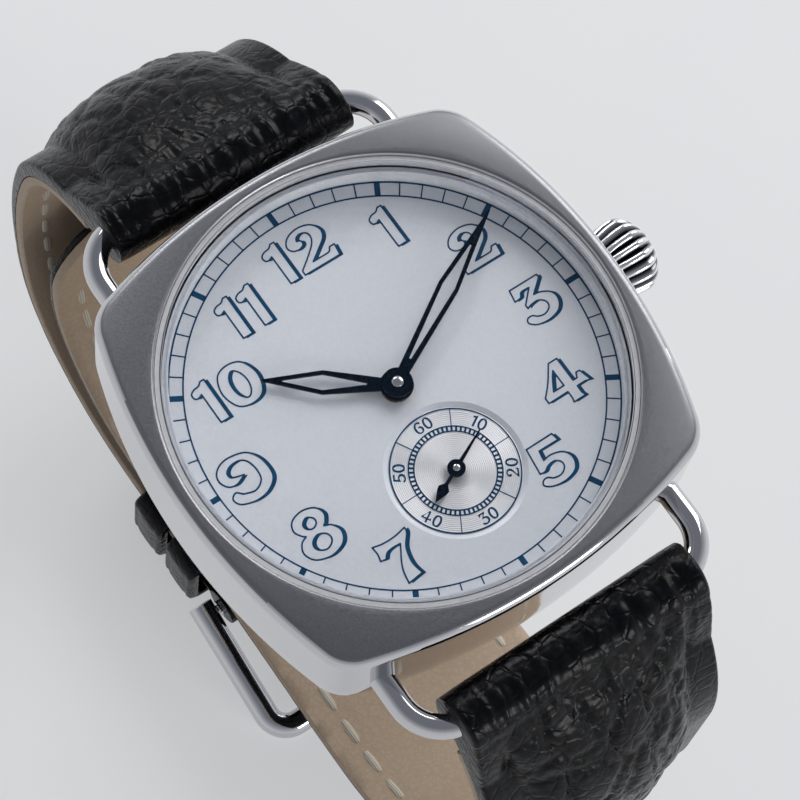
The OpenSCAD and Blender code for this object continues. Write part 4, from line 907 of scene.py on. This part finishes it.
def ribs(s, x, seed):
    """Fine folds along the strap where the leather turns round the wire."""
    folds = 0.26 * wave(s * 0.12, x * 1.3, 3 + seed) + 0.08 * wave(s * 0.3, x * 3.1, 6 + seed)
    return folds * math.exp(-max(0.0, s - 1) / 2.4)


GROOVE_IN, GROOVE_W, GROOVE_DEEP, EDGE_EASE = 2.25, 0.36, 0.42, 9.0
FINE_STEP, STEP, FINE_TO, TIP_EASE = 0.22, 0.34, 34.0, 1.5


def edge_height(s, l):
    """Height of the stitched edge above the lining's underside."""
    t = thick_at(s, l)
    return LINING_T - t / 2 + ease(t - LINING_T - 0.1, EDGE_T, s / EDGE_EASE)


def round_end(start, reach, n):
    """Stations over a rounded end, closer towards its tip."""
    return list(start + reach * np.sin(np.linspace(0, math.pi / 2, n)))


def strap_stations(l, tip, end_r, fold_r):
    """Lengths of the rings, from the fold round the wire to the tip or to the buckle's fold."""
    stations = list(-fold_r * np.cos(np.linspace(0, math.pi / 2, 14))[:-1])
    last = l - TIP_EASE if tip else l
    fine = min(FINE_TO, last)
    stations += list(np.linspace(0, fine, int(fine / FINE_STEP)))[:-1]
    stations += list(np.linspace(fine, last, int((last - fine) / STEP)))[:-1]
    return stations + (round_end(last, TIP_EASE, 10) if tip else round_end(l, end_r, 9))


def cap(r, d):
    """Half height of a round end of the radius r at the distance d from its centre."""
    return math.sqrt(max(0.0, r * r - d * d))


def strap_rings(runs, lean, side, seed, rugged, tip, end_r):
    """Rings of a padded half: crowned pad, seam grooves, flat edges and the folds' round ends."""
    l = total(runs)
    fold_r = STRAP_T / 2 + 0.1
    across, under = 116, 16
    rings = []
    for s in strap_stations(l, tip, end_r, fold_r):
        t = thick_at(s, l)
        lo = LINING_T - t / 2
        e = edge_height(s, l)
        rise = t / 2 - e
        share = tip_share(s, l, tip)
        hw = wide_at(s, l) / 2 * share
        pad = max(0.3, hw - GROOVE_IN - 0.1)
        ends = max(cap(fold_r, s), cap(end_r, s - l))
        beyond = s < 0 or s > l
        calm = 1 - 0.85 * math.exp(-max(0.0, s) / 2.0)
        corner = min(0.32, (e - lo) / 2)
        xs, qs = [], []
        for j in range(across + 1):
            k = 2 * j / across - 1
            x = hw * (math.sin(math.pi / 2 * k) + k) / 2
            u = abs(x) / pad
            rough = rugged * relief(s, x, seed) * calm * share
            groove = math.exp(-(((abs(x) - hw + GROOVE_IN) / GROOVE_W) ** 2))
            if u < 1:
                q = e + rise * (1 - u**2.4) ** 0.62 + rough * (1 - 0.6 * u**6)
            else:
                q = e + 0.35 * rough
            q -= GROOVE_DEEP * groove * min(1, max(0, s - 2) / 4) * share
            q = ends if beyond else max(q, ends)
            if s < 8:
                q += ribs(s, x, seed)
            over = abs(x) - (hw - corner)
            if over > 0:
                q -= corner - cap(corner, over)
            xs.append(x)
            qs.append(min(q, fold_r + 0.05))
        low = -ends if beyond else min(lo, -ends) if ends else lo
        for j in range(under + 1):
            x = hw * (1 - 2 * j / under)
            xs.append(x)
            qs.append(low + (0.08 if abs(x) > hw - 0.01 else 0.0))
        if beyond:
            qs = [max(q, low) for q in qs]
        rings.append(place_section(runs, lean, side, s, np.array(xs), np.array(qs)))
    return rings


def hole_cutters(runs, lean, side):
    """Round rods through the adjustment holes."""
    cutters = []
    for i in range(HOLES):
        y, z, h = way(runs, HOLE_FIRST + i * HOLE_PITCH, lean)
        c, n = cosd(h), sind(h)
        cutters.append(skin([[
            (HOLE_R * math.cos(a), side * (y - q * n + HOLE_R * math.sin(a) * c),
             STEM_Z + z + q * c + HOLE_R * math.sin(a) * n) for a in circle(32)]
            for q in (-4, 4)]))
    return cutters


def lining_rings(runs, lean, side, s0, s1, tip):
    """Rings of a lining with a shallow stitching groove along each edge."""
    l, soft = total(runs), 0.14
    rings = []
    stations = list(np.linspace(s0, s1, int((s1 - s0) / 0.8)))
    if tip:
        stations = [s for s in stations if s < s1 - TIP_EASE]
        stations += round_end(s1 - TIP_EASE, TIP_EASE, 10)
    for s in stations:
        t = thick_at(s, l)
        hw = wide_at(s, l) / 2 * tip_share(s, l, tip)
        lo, hi = -t / 2, LINING_T - t / 2
        xs = list(np.linspace(-hw + soft, hw - soft, 21))
        low = [(x, lo + 0.04 * wave(s * 0.3, x * 0.3, 7.0)
                + 0.1 * math.exp(-(((abs(x) - hw + 2.3) / 0.3) ** 2))) for x in xs]
        ring = low + [(hw, lo + soft), (hw, hi), (0, hi), (-hw, hi), (-hw, lo + soft)]
        x, q = np.array(ring).T
        rings.append(place_section(runs, lean, side, s, x, q))
    return rings


def stitches(runs, lean, side, s0, s1, inset, under, pitch, length, thick):
    """Short rounded stitches along both edges, on the lining or on the padded leather."""
    l = total(runs)
    parts = []
    n = int((s1 - s0) / pitch)
    for i in range(n):
        middle = s0 + (i + 0.5) * (s1 - s0) / n
        for edge in (-1, 1):
            rings = []
            for a in np.linspace(0, math.pi, 9):
                s = middle - length / 2 * math.cos(a)
                r = max(0.02, thick * math.sin(a) ** 0.5)
                x0 = edge * (wide_at(s, l) / 2 - inset)
                q0 = 0.07 - thick_at(s, l) / 2 if under else edge_height(s, l) - 0.22
                rings.append(place_section(runs, lean, side, s, x0 + 1.15 * r * np.cos(circle(8)),
                                           q0 + 0.62 * r * np.sin(circle(8))))
            parts.append(skin(rings))
    return join(parts)


HALF_12, HALF_6 = (RUNS_12, LEAN_12, 1), (RUNS_6, LEAN_6, -1)
tongue_slot = box_bar((0, BUCKLE_Y - 3), (0, BUCKLE_Y + 2.6), TONGUE_SLOT, STRAP_BOTTOM - 3,
                      STRAP_BOTTOM + 3)
for name, half, shape, openings in (
        ("strap_12", HALF_12, dict(seed=1.7, rugged=0.7, tip=0, end_r=1.7), [tongue_slot]),
        ("strap_6", HALF_6, dict(seed=5.2, rugged=1.15, tip=TIP_LEN, end_r=0),
         hole_cutters(*HALF_6))):
    padded = piece(name + "_leather", skin(strap_rings(*half, **shape)), black_leather,
                   name, [name], 45)
    cut(padded, openings)

# The source's linings start two of its 46 and 68 stations from the wire.
START_12, START_6 = 2 * total(RUNS_12) / 46, 2 * total(RUNS_6) / 68
for name, half, ends in (
        ("strap_12", HALF_12, (START_12, total(RUNS_12) - START_12, 0)),
        ("strap_6", HALF_6, (START_6, total(RUNS_6), TIP_LEN))):
    lining = piece(name + "_lining_fine", skin(lining_rings(*half, *ends)), beige_leather,
                   name, [name + "_lining"])
cut(lining, hole_cutters(*HALF_6))

for name, half, s0, s1 in (("strap_12", HALF_12, 5.0, 72.5), ("strap_6", HALF_6, 5.0, 105.0)):
    sewn = stitches(*half, s0, s1, inset=2.3, under=True, pitch=3.4, length=2.5, thick=0.3)
    piece(name + "_lining_stitches", sewn, pale_thread, name)
    sewn = stitches(*half, s0 + 1, s1 - 2, inset=GROOVE_IN, under=False, pitch=2.9, length=2.3,
                    thick=0.26)
    piece(name + "_edge_stitches", sewn, dark_thread, name)


# ---- Keepers and buckle ----
def rounded_loop(w, h, r, k=8, m=10):
    """A flat loop with rounded corners: k steps round each corner and m along each side."""
    corners = [[(sx * (w / 2 - r) + r * cosd(a), sz * (h / 2 - r) + r * sind(a))
                for a in np.linspace(a0, a0 + 90, k + 1)]
               for a0, sx, sz in ((0, 1, 1), (90, -1, 1), (180, -1, -1), (270, 1, -1))]
    points = []
    for corner, after in zip(corners, corners[1:] + corners[:1]):
        (x0, z0), (x1, z1) = corner[-1], after[0]
        points += corner + [(x0 + (x1 - x0) * i / m, z0 + (z1 - z0) * i / m) for i in range(1, m)]
    return np.array(points)


def keeper_rings(y):
    """Rings round a keeper that holds two thicknesses of strap, with creased edges."""
    l = total(RUNS_12)
    w = wide_at(l - (y - BUCKLE_Y), l) + 2 * KEEPER_EASE
    h = 2 * STRAP_END_T + 2 * KEEPER_EASE
    mid = STRAP_BOTTOM + (STRAP_END_T - h) / 2 + KEEPER_EASE
    inner = rounded_loop(w, h, 0.45)
    outer = rounded_loop(w + 2 * KEEPER_T, h + 2 * KEEPER_T, 1.5)
    half = KEEPER_W / 2
    edge = [(-half, 0.1), (-half, 0.55), (-half + 0.12, 0.85), (-half + 0.4, 0.95),
            (-half + 0.7, 0.9), (-half + 1.1, 0.98)]
    profile = edge + [(0, 1.0)] + [(-a, b) for a, b in reversed(edge)]
    profile += [(half - 0.15, 0), (-half + 0.15, 0)]
    return [[(ix + (ox - ix) * b, y + a, mid + iz + (oz - iz) * b) for a, b in profile]
            for (ix, iz), (ox, oz) in zip(inner, outer)]


for name, y in KEEPER_Y.items():
    body = "strap_12" if name == "fixed_keeper" else "free_keeper"
    piece(name + "_leather", skin(keeper_rings(y), loop=True), black_leather,
          body, [name], 60)

front_z = FLOOR_Z + ROD_R
tilt = math.atan2(STRAP_BOTTOM - front_z, BUCKLE_LEN)
reach = BUCKLE_LEN / math.cos(tilt)


def buckle_path():
    side = ARM_X - BUCKLE_BEND
    half = [(ARM_X, y, 0) for y in np.linspace(1.1, BUCKLE_BEND + 0.3 - reach, 16)]
    half += arc(side, BUCKLE_BEND - reach, BUCKLE_BEND, 0, -90)
    return bracket(half, [(x, -reach, 0) for x in np.linspace(side - 0.3, 0.3 - side, 60)])


# The front bar has a flat notch for the tongue's tip, and the frame leans down to the floor.
points, faces = sweep(buckle_path(), ROD_R)
x, y, z = points.T
z = np.where((np.abs(x) < 1.25) & (y < 2 - reach), np.maximum(z, -0.1), z)
turned = np.column_stack([x, y * math.cos(tilt) - z * math.sin(tilt) + BUCKLE_Y,
                          y * math.sin(tilt) + z * math.cos(tilt) + STRAP_BOTTOM])
piece("buckle_frame_fine", (turned, faces), polished, "buckle", ["buckle_frame"], 50)


# ---- Stage, lamps and camera ----
def seen(holder):
    """1 for the rays that show the background: from the camera, a mirror or glass."""
    rays = add(holder, "LightPath").outputs
    mirror = maths(holder, "MAXIMUM", rays["Is Camera Ray"], rays["Is Glossy Ray"])
    return maths(holder, "MAXIMUM", mirror, rays["Is Transmission Ray"])


def floor_material():
    mat, shader = material("pale_floor", (0.8, 0.8, 0.8), 0.0, 0.6)
    colours(mat, shader, grain_of(mat, 40, 3),
            [(0.3, (0.79, 0.79, 0.8)), (0.7, (0.81, 0.81, 0.81))])
    pale = add(mat, "Emission", Color=(0.93, 0.94, 0.96, 1))
    mixed(mat, maths(mat, "MULTIPLY", seen(mat), 0.45), shader, pale)
    return mat


def floor():
    half, z = 900.0, FLOOR_Z - 0.02
    corners = ((-half, -half, z), (half, -half, z), (half, half, z), (-half, half, z))
    mesh = bpy.data.meshes.new("floor")
    mesh.from_pydata([Vector(c) * MM for c in corners], [], [(0, 1, 2, 3)])
    mesh.materials.append(floor_material())
    placed("floor", mesh)


def lamp(name, place_mm, aim_mm, size_mm, watts):
    light = bpy.data.lights.new(name, "AREA")
    light.shape = "RECTANGLE"
    light.size, light.size_y = size_mm[0] * MM, size_mm[1] * MM
    light.energy = watts
    obj = placed(name, light)
    obj.location = Vector(place_mm) * MM
    aim = Vector(aim_mm) - Vector(place_mm)
    obj.rotation_euler = aim.to_track_quat("-Z", "Y").to_euler()


def studio_world():
    """Soft light from all round, and a backdrop that darkens upwards where it is seen."""
    world = bpy.data.worlds.new("studio")
    world.use_nodes = True
    bpy.context.scene.world = world
    light = world.node_tree.nodes["Background"]
    put(light, {"Color": (0.62, 0.64, 0.68, 1), "Strength": 0.4})
    coords = add(world, "TexCoord").outputs["Generated"]
    height = add(world, "SeparateXYZ", [(coords, "Vector")])
    ramp = add(world, "ValToRGB", [(height.outputs["Z"], "Fac")])
    set_ramp(ramp, [(0.05, (0.66, 0.67, 0.69)), (0.85, (0.2, 0.21, 0.24))])
    backdrop = add(world, "Background", [(ramp.outputs["Color"], "Color")])
    mixed(world, seen(world), light, backdrop, "World Output")


# The camera's place and axes were fitted to the printed minute track in the photograph.
CAMERA_AT, CAMERA_LENS = (-56.5, -52.0, 191.45), 127.9
CAMERA_AXES = ((0.8148, 0.5069, -0.2816), (-0.5728, 0.7787, -0.2561), (0.0895, 0.3699, 0.9248))


def photo_camera():
    data = bpy.data.cameras.new("camera")
    data.sensor_fit = "HORIZONTAL"
    data.sensor_width = 36.0
    data.lens = CAMERA_LENS
    data.clip_start, data.clip_end = 0.01, 20.0
    camera = placed("camera", data)
    turned = Matrix(CAMERA_AXES).to_quaternion().to_matrix().to_4x4()
    camera.matrix_world = Matrix.Translation(Vector(CAMERA_AT) * MM) @ turned
    bpy.context.scene.camera = camera


floor()
lamp("key", (470, 150, 290), (0, 0, 0), (330, 380), 1.45)
lamp("fill", (130, 480, 330), (0, 10, 0), (240, 160), 0.8)
lamp("rim", (140, -520, 180), (0, -10, 0), (200, 140), 0.7)

studio_world()
photo_camera()
bpy.context.scene.view_settings.view_transform = "Standard"
